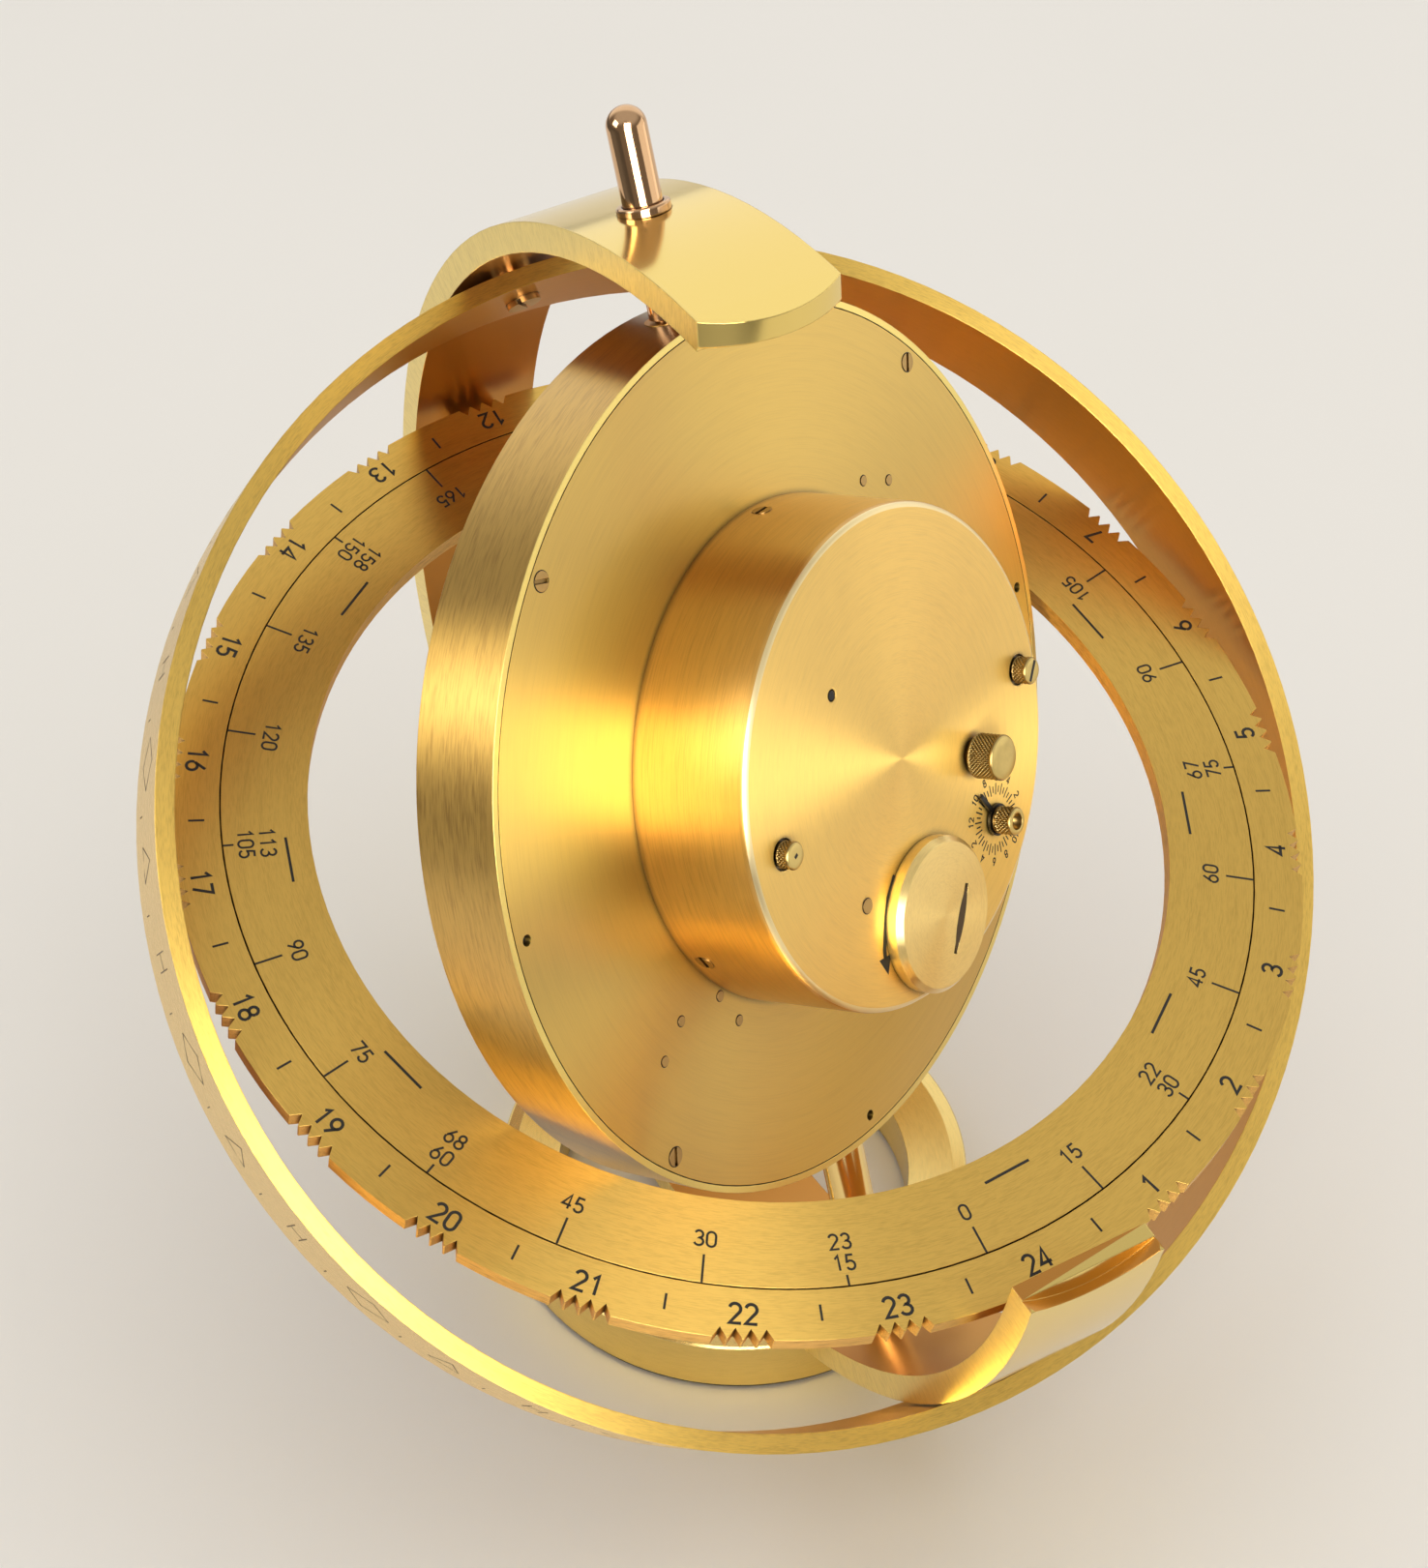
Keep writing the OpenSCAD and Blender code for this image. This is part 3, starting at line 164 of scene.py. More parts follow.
def newMaterial(name):
    # a material, its tree and its shader
    material = bpy.data.materials.new(name)
    material.use_nodes = True
    return material, material.node_tree, material.node_tree.nodes["Principled BSDF"]


def shaded(colour, share):
    # share * colour, with full alpha
    return tuple(c * share for c in colour[:3]) + (1,)


# what all metals share. Patterns are counted per mm, and a ramp holds the inputs 1 to 4 of a Map Range node:
# from low, from high, to low and to high. The reach is a radius in mm.
brushing = dict(darker=0.6, steep=0.7, reach=90, broad=0.22, fineShare=0.7, fineDetail=3.0, broadDetail=2.0,
                ramp={1: 0.34, 2: 0.55, 3: 1.0, 4: 0.0}, roughGain=0.25, quarterTurn=0.25, lacquerRough=0.3)
stains = dict(perMm=0.06, detail=8.0, roughness=0.7, ramp={1: 0.5, 2: 0.75, 3: 0.0, 4: 1.0}, roughGain=0.25)
# corners: the ramp and darkness of the painted shade in corners and gaps, the samples of that shade, and
# those of the rounded edges
corners = dict(ramp={1: 0.3, 2: 0.8, 3: 0.92, 4: 0.0}, shade=0.12, samples=8, bevelSamples=4)


def metal(name, colour, rough, grain=None, strength=0.3, dark=None, centre=(0, 0, 0), axis=(0, 0, 1),
          aniso=0.0, bevel=0.0, linesPerMm=2.6, stretch=14.0, spots=0.0, side=None, rim=None, inner=None,
          creviceShade=0.0, lacquer=0.0):
    # grain "round" is brushed round the axis, "radial" away from it: streaks = 0.7 fine + 0.3 broad noise,
    # and colour = mix(colour, dark, streaks * strength). side holds the coat of the faces that run along the
    # axis, where it differs from the faces across it, and inner that of the ones that look towards the axis,
    # whose darker colour is painted shade. rim is a paler end above a height and beyond a radius: a painted
    # highlight. The crevice reach in mm is how far painted shade darkens corners and gaps.
    material, tree, shader = newMaterial(name)
    add = partial(addNode, tree)
    place, normal = (add("TexCoord", {}, kind) for kind in ("Object", "Normal"))
    away = add("VectorMath", {0: place, 1: tuple(np.array(centre) * metre)}, operation="SUBTRACT")
    base = linear(colour)
    deep = linear(dark) if dark else shaded(base, brushing["darker"])
    # w is the axis, and u and v span the plane across it
    w = tuple(np.array(axis, float) / np.linalg.norm(axis))
    u = np.cross(w, [0.0, 1.0, 0.0] if abs(w[1]) < 0.9 else [1.0, 0.0, 0.0])
    u /= np.linalg.norm(u)
    v = np.cross(w, u)
    colourOut, roughOut = base, rough
    if grain or rim:
        x, y, z = (add("VectorMath", {0: away, 1: tuple(line)}, "Value", operation="DOT_PRODUCT")
                   for line in (u, v, w))
        radius = add("VectorMath", {0: add("CombineXYZ", {0: x, 1: y})}, "Value", operation="LENGTH")
    if side:
        along = add("VectorMath", {0: normal, 1: w}, "Value", operation="DOT_PRODUCT")
        facing = add("Math", {0: along}, operation="ABSOLUTE")
        across = add("Math", {0: facing, 1: brushing["steep"]}, operation="GREATER_THAN")
        sideColour, sideRough = linear(side["colour"]), side["rough"]
        if inner:
            # faces that look towards the axis take the inner colour, a darker brown that is painted shade
            outward = add("VectorMath", {0: normal, 1: away}, "Value", operation="DOT_PRODUCT")
            inward = add("Math", {0: outward, 1: 0.0}, operation="LESS_THAN")
            innerShadeColour = linear(inner["colour"])
            sideColour = add("Mix", {0: inward, 6: sideColour, 7: innerShadeColour}, 2, data_type="RGBA")
            sideRough = add("Mix", {0: inward, 2: sideRough, 3: inner["rough"]})
        colourOut = add("Mix", {0: across, 6: sideColour, 7: base}, 2, data_type="RGBA")
        roughOut = add("Mix", {0: across, 2: sideRough, 3: rough})
    if grain:
        # the noise is stretched along the brushing: its lines are stretch times longer than wide at the reach
        angle, arc = add("Math", {0: y, 1: x}, operation="ARCTAN2"), brushing["reach"] * metre
        if grain == "round":
            length = add("Math", {0: angle, 1: arc / stretch}, operation="MULTIPLY")
            stretched = add("CombineXYZ", {0: radius, 1: z, 2: length})
        else:
            length = add("Math", {0: radius, 1: 1 / stretch}, operation="MULTIPLY")
            width = add("Math", {0: angle, 1: arc}, operation="MULTIPLY")
            stretched = add("CombineXYZ", {0: length, 1: z, 2: width})
        fineInputs = {"Vector": stretched, "Scale": linesPerMm / metre, "Detail": brushing["fineDetail"]}
        broadInputs = {"Vector": stretched, "Scale": linesPerMm / metre * brushing["broad"],
                       "Detail": brushing["broadDetail"]}
        fine, broad = add("TexNoise", fineInputs, "Fac"), add("TexNoise", broadInputs, "Fac")
        streak = add("Mix", {0: brushing["fineShare"], 2: broad, 3: fine})
        amount = add("MapRange", {0: streak, **brushing["ramp"]})
        force = strength
        if side:
            force = add("Mix", {0: across, 2: side.get("strength", strength), 3: strength})
        shade = add("Math", {0: amount, 1: force}, operation="MULTIPLY")
        colourOut = add("Mix", {0: shade, 6: colourOut, 7: deep}, 2, data_type="RGBA")
        offset = add("Math", {0: fine, 1: 0.5}, operation="SUBTRACT")
        gain = add("Math", {0: force, 1: brushing["roughGain"]}, operation="MULTIPLY")
        roughOut = add("Math", {0: offset, 1: gain, 2: roughOut}, operation="MULTIPLY_ADD")
        # the tangent runs along the brushing, and a quarter turn spreads the shine across it
        tangent = away
        if grain == "round":
            tangent = add("VectorMath", {0: w, 1: away}, operation="CROSS_PRODUCT")
        turned = add("VectorTransform", {0: tangent}, vector_type="VECTOR", convert_from="OBJECT",
                     convert_to="WORLD")
        setInputs(tree, shader, {"Tangent": add("VectorMath", {0: turned}, operation="NORMALIZE"),
                                 "Anisotropic Rotation": brushing["quarterTurn"], "Anisotropic": aniso})
    if spots:
        cloudInputs = {"Vector": place, "Scale": stains["perMm"] / metre, "Detail": stains["detail"],
                       "Roughness": stains["roughness"]}
        cover = add("MapRange", {0: add("TexNoise", cloudInputs, "Fac"), **stains["ramp"]})
        patch = add("Math", {0: cover, 1: spots}, operation="MULTIPLY")
        colourOut = add("Mix", {0: patch, 6: colourOut, 7: deep}, 2, data_type="RGBA")
        roughOut = add("Math", {0: patch, 1: stains["roughGain"], 2: roughOut}, operation="MULTIPLY_ADD")
    if rim:
        # the end above the height and beyond the radius takes a paler colour: a painted highlight
        above = add("Math", {0: z, 1: rim["height"] * metre}, operation="GREATER_THAN")
        beyond = add("Math", {0: radius, 1: rim.get("radius", 0) * metre}, operation="GREATER_THAN")
        end = add("Math", {0: above, 1: beyond}, operation="MULTIPLY")
        colourOut = add("Mix", {0: end, 6: colourOut, 7: linear(rim["colour"])}, 2, data_type="RGBA")
        roughOut = add("Mix", {0: end, 2: roughOut, 3: rim["rough"]})
    if creviceShade:
        # painted shade: the colour darkens towards a dark brown where other surfaces are near, in corners,
        # gaps and slots
        openness = add("AmbientOcclusion", {"Distance": creviceShade * metre}, "AO", samples=corners["samples"])
        cornerShade, cornerShadeColour = add("MapRange", {0: openness, **corners["ramp"]}), shaded(deep, corners["shade"])
        colourOut = add("Mix", {0: cornerShade, 6: colourOut, 7: cornerShadeColour}, 2, data_type="RGBA")
    if bevel:
        edges = add("Bevel", {"Radius": bevel * metre}, samples=corners["bevelSamples"])
        setInputs(tree, shader, {"Normal": edges})
    setInputs(tree, shader, {"Metallic": 1, "Base Color": colourOut, "Roughness": roughOut,
                             "Coat Weight": lacquer, "Coat Roughness": brushing["lacquerRough"]})
    return material


speckle = dict(perMm=0.7, detail=4.0, share=0.25, shade=0.7)


def plain(name, colour, rough, specks=0.0):
    # colour = mix(colour, 0.7 colour, cloud * (0.25 + specks))
    material, tree, shader = newMaterial(name)
    base, place = linear(colour), addNode(tree, "TexCoord", {}, "Object")
    cloudInputs = {"Vector": place, "Scale": speckle["perMm"] / metre, "Detail": speckle["detail"]}
    cloud = addNode(tree, "TexNoise", cloudInputs, "Fac")
    amount = addNode(tree, "Math", {0: cloud, 1: speckle["share"] + specks}, operation="MULTIPLY")
    tone = addNode(tree, "Mix", {0: amount, 6: base, 7: shaded(base, speckle["shade"])}, 2, data_type="RGBA")
    setInputs(tree, shader, {"Base Color": tone, "Roughness": rough})
    return material


# Real brush lines are finer than a pixel, about ten to the mm, so they are drawn three to six to the mm.
ringAxis = tuple(ringPlace[0][:, 2])
bandAxis = tuple(bandPlace[0][:, 2])
headAxis = tuple(headPlace[0][:, 2])
# ground brass strip: fine lines across its edge faces, a mirror outside, and inside a warm brown that is
# painted shade
arcBrass = metal("polishedBrassArc", "#FAE08A", 0.36, "radial", 0.24, "#A08440", arcCentre, (0, 1, 0), 0.4,
                 0.3, linesPerMm=5.6, stretch=8, side=dict(colour="#EFD27A", rough=0.13, strength=0.0),
                 inner=dict(colour="#C4883C", rough=0.3), lacquer=0.3)
# turned brass plate: lines round the ring, which spread the shine across them, and painted shade in its
# corners
ringBrass = metal("brushedBrassRing", "#F2C868", 0.3, "round", 0.2, "#8A5A1C", arcCentre, ringAxis, 0.9, 0.15,
                  linesPerMm=5.6, stretch=12, side=dict(colour="#E0B060", rough=0.35, strength=0.6),
                  creviceShade=1.2)
# rolled brass strip: a soft gleam outside, inside a warm brown that is painted shade, and painted shade in
# its corners
bandBrass = metal("brushedBrassBand", "#FCD46C", 0.38, "round", 0.3, "#9A6C2A", bandPlace[1], bandAxis, 0.8,
                  0.3, linesPerMm=5.2, stretch=8, side=dict(colour="#EDCB82", rough=0.27, strength=0.15),
                  inner=dict(colour="#CF9440", rough=0.3), creviceShade=0.8, lacquer=0.2)
# turned and lacquered brass tube: lines round its side, a paler edge that is a painted highlight, and painted
# shade over the part near the ring
caseBrass = metal("turnedBrassCase", "#ECC664", 0.3, "round", 0.4, "#8F6020", headCentre, headAxis, 0.85, 0.2,
                  linesPerMm=3.2, side=dict(colour="#D6AC54", rough=0.32, strength=0.4),
                  rim=dict(height=8.5, colour="#FAE07C", rough=0.3), creviceShade=20.0, lacquer=0.8)
# finely turned and lacquered brass sheet: the light stands on it as a pale fan, with painted shade round the
# can and in its corners
plateBrass = metal("turnedBrassPlate", "#EAC45C", 0.38, "round", 0.12, "#A37B35", headCentre, headAxis, 0.95,
                   0.1, linesPerMm=5, stretch=60, creviceShade=2.0, lacquer=1.0)
# spun and lacquered brass: a wide soft gleam, a paler round edge that is partly wear and partly a painted
# highlight, and painted shade round the knobs and in its corners
canBrass = metal("turnedBrassCan", "#FFD670", 0.5, "round", 0.12, "#9A6A22", headCentre, headAxis, 0.8, 0.8,
                 linesPerMm=5, stretch=60, spots=0.05, side=dict(colour="#E4B04E", rough=0.4, strength=0.3),
                 rim=dict(height=31.0, radius=43.3, colour="#FFE8AC", rough=0.4), creviceShade=2.5, lacquer=1.0)
# turned and lacquered brass: a small fan of its own, and painted shade in its corners
cap = dict(x=0, y=-30)
capCentre = headCentre + headPlace[0] @ np.array([cap["x"], cap["y"], 0])
capBrass = metal("turnedBrassCap", "#FFE08C", 0.36, "round", 0.15, "#A37B35", capCentre, headAxis, 0.7, 0.2,
                 linesPerMm=4, stretch=40, creviceShade=1.2, lacquer=1.0)
# satin turned brass: clear but soft reflections
baseBrass = metal("satinBrassBase", "#F0D488", 0.22, "round", 0.12, "#8D7430", (0, 0, 0), (0, 0, 1), 0.5, 0.3,
                  side=dict(colour="#EBD080", rough=0.16, strength=0.1))
# polished brass, a little tarnished: a pinkish mirror with dark lines, and painted shade in its corners
rodBrass = metal("polishedBrassRod", "#DDB48A", 0.08, bevel=0.3, spots=0.2, dark="#6A4A38", creviceShade=0.5)
# bright turned brass; knurled brass, darker on its knurled side, with painted shade between its ridges; and
# worn screws with painted shade in their slots
fitBrass = metal("turnedBrassFitting", "#F4D68E", 0.16, bevel=0.2)
knobBrass = metal("knurledBrassKnob", "#DCC27A", 0.34, spots=0.3, dark="#4A3718", axis=headAxis,
                  side=dict(colour="#8E7444", rough=0.3), creviceShade=1.8)
screwBrass = metal("oliveBrassScrew", "#BC9A62", 0.3, spots=0.4, dark="#6E5024", bevel=0.1, creviceShade=0.9)
# drawn steel and stamped brass in the movement, both with a plain dull shine
steel = metal("brightSteel", "#B4B4B6", 0.28, bevel=0.1)
gearBrass = metal("gearBrass", "#D2A95C", 0.3, bevel=0.05)
# wax filling in engraved marks, also used for painted shade in holes, gaps and slots, the painted shade in
# the coin slot, and lines in engraved marks: matt
inkAndShade = plain("blackFillingAndShade", "#15110C", 0.55)
slotShade = plain("slotShade", "#4E3812", 0.4)
engraved = plain("engravedLine", "#7A6238", 0.5)
# paint on hands and dial: smooth, with a broad shine
handPaint = plain("handBlack", "#101010", 0.3)
dialPaint = plain("dialCream", "#EDE8D8", 0.5)
# pressed wool, moulded rubber, a lacquered board, enamelled wire and moulded plastic: matt to satin
felt = plain("greenFelt", "#2C352D", 0.95, specks=0.4)
rubber = plain("gasketRubber", "#1B1B1B", 0.7)
boardPaint = plain("boardGreen", "#1E5236", 0.4)
wire = plain("coilWire", "#8A3E1B", 0.35, specks=0.3)
plastic = plain("blackMoulding", "#202022", 0.45)

# window glass: clear, and so faintly uneven that nothing blurs
glass = dict(perMm=0.04, rough=0.02)
clearGlass, tree, shader = newMaterial("clearGlass")
cloudInputs = {"Vector": addNode(tree, "TexCoord", {}, "Object"), "Scale": glass["perMm"] / metre}
cloud = addNode(tree, "TexNoise", cloudInputs, "Fac")
uneven = addNode(tree, "Math", {0: cloud, 1: glass["rough"]}, operation="MULTIPLY")
setInputs(tree, shader, {"Base Color": (1, 1, 1, 1), "Transmission Weight": 1, "Roughness": uneven})

coats = {
    "base_pad": felt, "base_ring": baseBrass, "base_screws": screwBrass, "meridian_arc": arcBrass,
    "outer_band": bandBrass, "band_spacers": fitBrass, "band_screws": screwBrass, "city_ring": ringBrass,
    "keeper_ring": ringBrass, "keeper_screws": screwBrass, "hour_ring": ringBrass,
    "noon_bracket": fitBrass, "midnight_bracket": fitBrass, "bracket_screws": screwBrass,
    "finial": rodBrass, "finial_collar": rodBrass, "upper_pivot": rodBrass,
    "lower_post": fitBrass, "post_screw": screwBrass, "case_band": caseBrass, "upper_bush": gearBrass,
    "lower_bush": gearBrass, "front_bezel": rodBrass, "crystal": clearGlass,
    "crystal_gasket": rubber, "dial_plate": dialPaint, "dial_marks": rodBrass,
    "rear_plate": plateBrass, "plate_screws": screwBrass, "plate_pins_set": screwBrass, "rear_can": canBrass,
    "can_screws": screwBrass, "can_plug": screwBrass, "movement_front_plate": gearBrass,
    "movement_rear_plate": gearBrass, "pillars": steel, "coil": wire, "coil_core": steel,
    "circuit_board": boardPaint, "battery_tube": plastic, "contact_spring": steel,
    "battery_cell": steel, "battery_cap": capBrass, "wheel_post": steel, "cannon_pinion": steel,
    "minute_hand": handPaint, "hour_wheel": gearBrass, "hour_hand": handPaint,
    "minute_wheel": gearBrass, "setting_arbor": steel, "time_knob": knobBrass, "date_stem": steel,
    "date_knob": knobBrass, "date_hand": handPaint, "month_stem": steel, "month_knob": knobBrass,
    "month_hand": handPaint, "pointer_knob": knobBrass, "pointer": handPaint,
}
for name, obj in nodes.items():
    obj.data.materials.clear()
    obj.data.materials.append(coats[name])
print("stage: materials ready")


# strokes: plain numbers, ticks and lines laid on a surface
def arcPoints(cx, cy, rx, ry, a0, a1, count=10):
    # x = cx + rx cos a, y = cy + ry sin a
    return [(cx + rx * math.cos(math.radians(a)), cy + ry * math.sin(math.radians(a)))
            for a in np.linspace(a0, a1, count)]


# digits in a box 0.56 wide and 1 high, as polylines
digitShapes = {
    "0": [arcPoints(0.28, 0.72, 0.28, 0.28, 0, 180) + arcPoints(0.28, 0.28, 0.28, 0.28, 180, 360)
          + [(0.56, 0.72)]],
    "1": [[(0.1, 0.78), (0.32, 1.0), (0.32, 0.0)]],
    "2": [arcPoints(0.28, 0.73, 0.27, 0.27, 165, -35) + [(0.0, 0.0), (0.56, 0.0)]],
    "3": [arcPoints(0.27, 0.75, 0.25, 0.25, 160, -90) + arcPoints(0.27, 0.26, 0.29, 0.26, 85, -160)],
    "4": [[(0.42, 0.0), (0.42, 1.0), (0.0, 0.27), (0.58, 0.27)]],
    "5": [[(0.5, 1.0), (0.1, 1.0), (0.05, 0.54)] + arcPoints(0.27, 0.31, 0.28, 0.3, 130, -155)],
    "6": [[(0.44, 1.0), (0.06, 0.44)] + arcPoints(0.28, 0.29, 0.27, 0.29, 160, -200, 18)],
    "7": [[(0.0, 1.0), (0.56, 1.0), (0.2, 0.0)]],
    "8": [arcPoints(0.28, 0.76, 0.23, 0.24, 0, 360, 16), arcPoints(0.28, 0.27, 0.28, 0.27, 0, 360, 16)],
    "9": [[(0.12, 0.0), (0.5, 0.56)] + arcPoints(0.28, 0.71, 0.27, 0.29, -20, 340, 18)],
}


mitre = dict(shortest=1e-6, weakest=0.3, sharpest=0.5)


def strokeMesh(paths, width):
    # each polyline becomes a flat strip of the width, mitred at its corners: p +- m width / 2, where m points
    # half way between the normals of the two segments and is longer by 1 / cos of half their angle
    points, faces, first = [], [], 0
    for path in paths:
        p = np.array(path, float)
        p = p[np.r_[True, np.linalg.norm(np.diff(p, axis=0), axis=1) > mitre["shortest"]]]
        d = np.diff(p, axis=0)
        d /= np.linalg.norm(d, axis=1)[:, None]
        n = np.stack([-d[:, 1], d[:, 0]], -1)
        m = np.vstack([n[:1], n[:-1] + n[1:], n[-1:]])
        m /= np.maximum(np.linalg.norm(m, axis=1), mitre["weakest"])[:, None]
        side = np.vstack([n[:1], n])
        m /= np.clip((m * side).sum(1), mitre["sharpest"], 1)[:, None]
        points.append(np.stack([p + m * width / 2, p - m * width / 2], 1).reshape(-1, 2))
        a = first + 2 * np.arange(len(p) - 1)
        faces += np.stack([a, a + 1, a + 3, a + 2], -1).tolist()
        first += 2 * len(p)
    return np.vstack(points), faces


letters = dict(width=0.56, gap=0.22)


def numberPaths(text, height, x=0.0, y=0.0, turn=0.0):
    # the text is centred on x, y and turned by the angle: x' = x + c a - s b, y' = y + s a + c b
    advance = (letters["width"] + letters["gap"]) * height
    start = -(len(text) * advance - letters["gap"] * height) / 2
    c, s = math.cos(math.radians(turn)), math.sin(math.radians(turn))
    out = []
    for k, sign in enumerate(text):
        for path in digitShapes[sign]:
            local = [(start + k * advance + px * height, (py - 0.5) * height) for px, py in path]
            out.append([(x + c * a - s * b, y + s * a + c * b) for a, b in local])
    return out


def onPlane(points, z):
    # (x, y) becomes (x, y, z)
    return np.c_[points, np.full(len(points), z)]


def marks(name, paths, width, place, body, z, flip=False):
    # black strips of the width on the plane at z
    points, faces = strokeMesh(paths, width)
    addMesh(name, onPlane(points, z), faces, place, body, inkAndShade, False, flip=flip)


def onRing(radius, turn, x=0.0, y=0.0):
    # (x + r cos a, y + r sin a)
    return x + radius * math.cos(math.radians(turn)), y + radius * math.sin(math.radians(turn))


def longitude(turn):
    # the angle from the first meridian either way: |(a + 180) mod 360 - 180|
    return str(abs((turn + 180) % 360 - 180))


# world ring: hours 1 to 24 on the turning ring, and degrees with dashes on the fixed one
hourStep = 15
hourMarks = dict(face=-1.98, numberR=100.5, numberH=3.5, numberW=0.56, tickIn=98.7, tickOut=101.6, tickW=0.42)
numbers = []
for hour in range(1, 25):
    turn = hour * hourStep
    numbers += numberPaths(str(hour), hourMarks["numberH"], *onRing(hourMarks["numberR"], turn), turn + 90)
ends = (hourMarks["tickIn"], hourMarks["tickOut"])
ticks = [[onRing(r, (k + 0.5) * hourStep) for r in ends] for k in range(24)]
marks("hourNumbers", numbers, hourMarks["numberW"], ringPlace, "hour_ring_turning", hourMarks["face"])
marks("halfHourTicks", ticks, hourMarks["tickW"], ringPlace, "hour_ring_turning", hourMarks["face"])

# every third tick is short, with two places under it
zoneMarks = dict(face=-1.98, offset=10.8, shortIn=93.8, longIn=90.6, edge=95.7, tickW=0.4, numberH=2.7,
                 numberW=0.4, outerR=91.6, innerR=87.7, first=15, second=7, dashR=84.4, dashTurn=6.4,
                 dashW=0.5, dashes=(3, 34, 64.5, 96, 129, 171, 212, 253.5, 285.5))
ticks, numbers, dashes = [], [], []
for k in range(24):
    turn = k * hourStep + zoneMarks["offset"]
    places = [(zoneMarks["innerR"], zoneMarks["first"])]
    inner = zoneMarks["longIn"]
    if k % 3 == 1:
        places = [(zoneMarks["outerR"], zoneMarks["first"]), (zoneMarks["innerR"], zoneMarks["second"])]
        inner = zoneMarks["shortIn"]
    ticks.append([onRing(inner, turn), onRing(zoneMarks["edge"], turn)])
    for radius, shift in places:
        text = longitude(k * hourStep + shift)
        numbers += numberPaths(text, zoneMarks["numberH"], *onRing(radius, turn), turn + 90)
for turn in zoneMarks["dashes"]:
    dashes.append([onRing(zoneMarks["dashR"], turn + side * zoneMarks["dashTurn"] / 2) for side in (-1, 1)])
marks("zoneTicks", ticks, zoneMarks["tickW"], ringPlace, "stand", zoneMarks["face"])
marks("zoneNumbers", numbers, zoneMarks["numberW"], ringPlace, "stand", zoneMarks["face"])
marks("zoneDashes", dashes, zoneMarks["dashW"], ringPlace, "stand", zoneMarks["face"])
print("stage: ring markings ready")


# knurled knobs: what they share, as pairs of a height from the foot, neck or top and an inset or extra radius
knurl = dict(perLobe=8, startGap=0.25, topGap=0.5, fade=0.2, foot=[(0.0, 0.2), (0.05, 0.0)],
             root=[(0.0, 0.15), (0.05, 0.05)], rim=[(0.4, 0.0), (0.3, 0.04), (0.05, 0.32), (0.0, 0.42)],
             mouth=[(0.0, 0.15), (0.05, 0.04), (0.15, 0.0)], boreEnd=0.35)


def knurledKnob(name, node, body, x, y, foot, radius, height, lobes, depth, bore=0.0, neck=0.4, neckIn=0.1):
    # r(a, z) = radius - depth * (1 - min(|sin(n a + k z)|, |sin(n a - k z)|)), fading out at both rims, over
    # a smooth neck that is thinner by neckIn
    count = lobes * knurl["perLobe"]
    a = np.radians(np.linspace(0, 360, count, endpoint=False))
    pitch = 2 * math.pi * radius / lobes
    start, top = neck + knurl["startGap"], height - knurl["topGap"]
    ridgeHeights = np.linspace(start, top, int((top - start) / pitch * knurl["perLobe"]) + 2)
    rows = [(0.0, 0, 0)] + [(z, radius - neckIn - inset, 0) for z, inset in knurl["foot"]]
    rows += [(neck, radius - neckIn, 0)] + [(neck + z, radius - inset, 0) for z, inset in knurl["root"]]
    rows += [(z, radius, float(np.clip(min(z - start, top - z) / knurl["fade"], 0, 1))) for z in ridgeHeights]
    rows += [(height - z, radius - inset, 0) for z, inset in knurl["rim"]]
    if bore:
        rows += [(height - z, bore + extra, 0) for z, extra in knurl["mouth"]]
        rows += [(height * knurl["boreEnd"], bore, 0), (height * knurl["boreEnd"], 0, 0)]
    else:
        rows += [(height, radius / 2, 0), (height, 0, 0)]
    z, r, amount = np.array(rows).T[:, :, None]
    shift = math.pi * z / pitch
    wave = np.minimum(np.abs(np.sin(lobes / 2 * a + shift)), np.abs(np.sin(lobes / 2 * a - shift)))
    reach = r - depth * amount * (1 - wave)
    grid = np.stack([x + reach * np.cos(a), y + reach * np.sin(a), foot + z + 0 * reach], -1)
    faces = gridFaces(len(rows), count, False, True)
    obj = addMesh(name, grid.reshape(-1, 3), faces, headPlace, body, knobBrass, weld=True, flip=True)
    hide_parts(node)


timeKnob = dict(x=20, y=-8.4, foot=31.9, radius=4.1, height=6.5, lobes=34, depth=0.5, neck=1.3, neckIn=1.1)
dateKnob = dict(x=-36, y=-1, foot=31.1, radius=2.4, height=3.1, lobes=20, depth=0.3, neck=0.5, neckIn=0.3)
monthKnob = dict(x=38.3, y=0.2, foot=31.1, radius=2.5, height=3.6, lobes=20, depth=0.3, neck=0.5, neckIn=0.3)
pointerKnob = dict(x=23.5, y=-22.8, foot=32.4, radius=2.6, height=3.9, lobes=20, depth=0.42, bore=1.5)
knurledKnob("timeKnobKnurled", "time_knob", "time_setting", **timeKnob)
knurledKnob("dateKnobKnurled", "date_knob", "date_setting", **dateKnob)
knurledKnob("monthKnobKnurled", "month_knob", "month_setting", **monthKnob)
knurledKnob("pointerKnobKnurled", "pointer_knob", "pointer_setting", **pointerKnob)

# the pointer: a washer with a finger that grows thinner to its notched end
pointer = dict(z=31.9, thick=0.5, radius=2.95, reach=7.6, root=0.5, end=0.42, notch=0.45, turn=121.0)
bend = math.degrees(math.asin(pointer["root"] / pointer["radius"]))
outline = arcPoints(0, 0, pointer["radius"], pointer["radius"], bend, 360 - bend, 48)
outline += [(pointer["reach"], -pointer["end"]), (pointer["reach"] - pointer["notch"], 0),
            (pointer["reach"], pointer["end"])]
outline = np.array(outline) @ turnZ(pointer["turn"])[:2, :2].T + (pointerKnob["x"], pointerKnob["y"])
count = len(outline)
points = np.vstack([onPlane(outline, pointer["z"]), onPlane(outline, pointer["z"] + pointer["thick"])])
faces = [list(range(count))[::-1], list(range(count, 2 * count))]
faces += [[k, (k + 1) % count, (k + 1) % count + count, k + count] for k in range(count)]
obj = addMesh("pointerFinger", points, faces, headPlace, "pointer_setting", handPaint, False)
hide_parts("pointer")

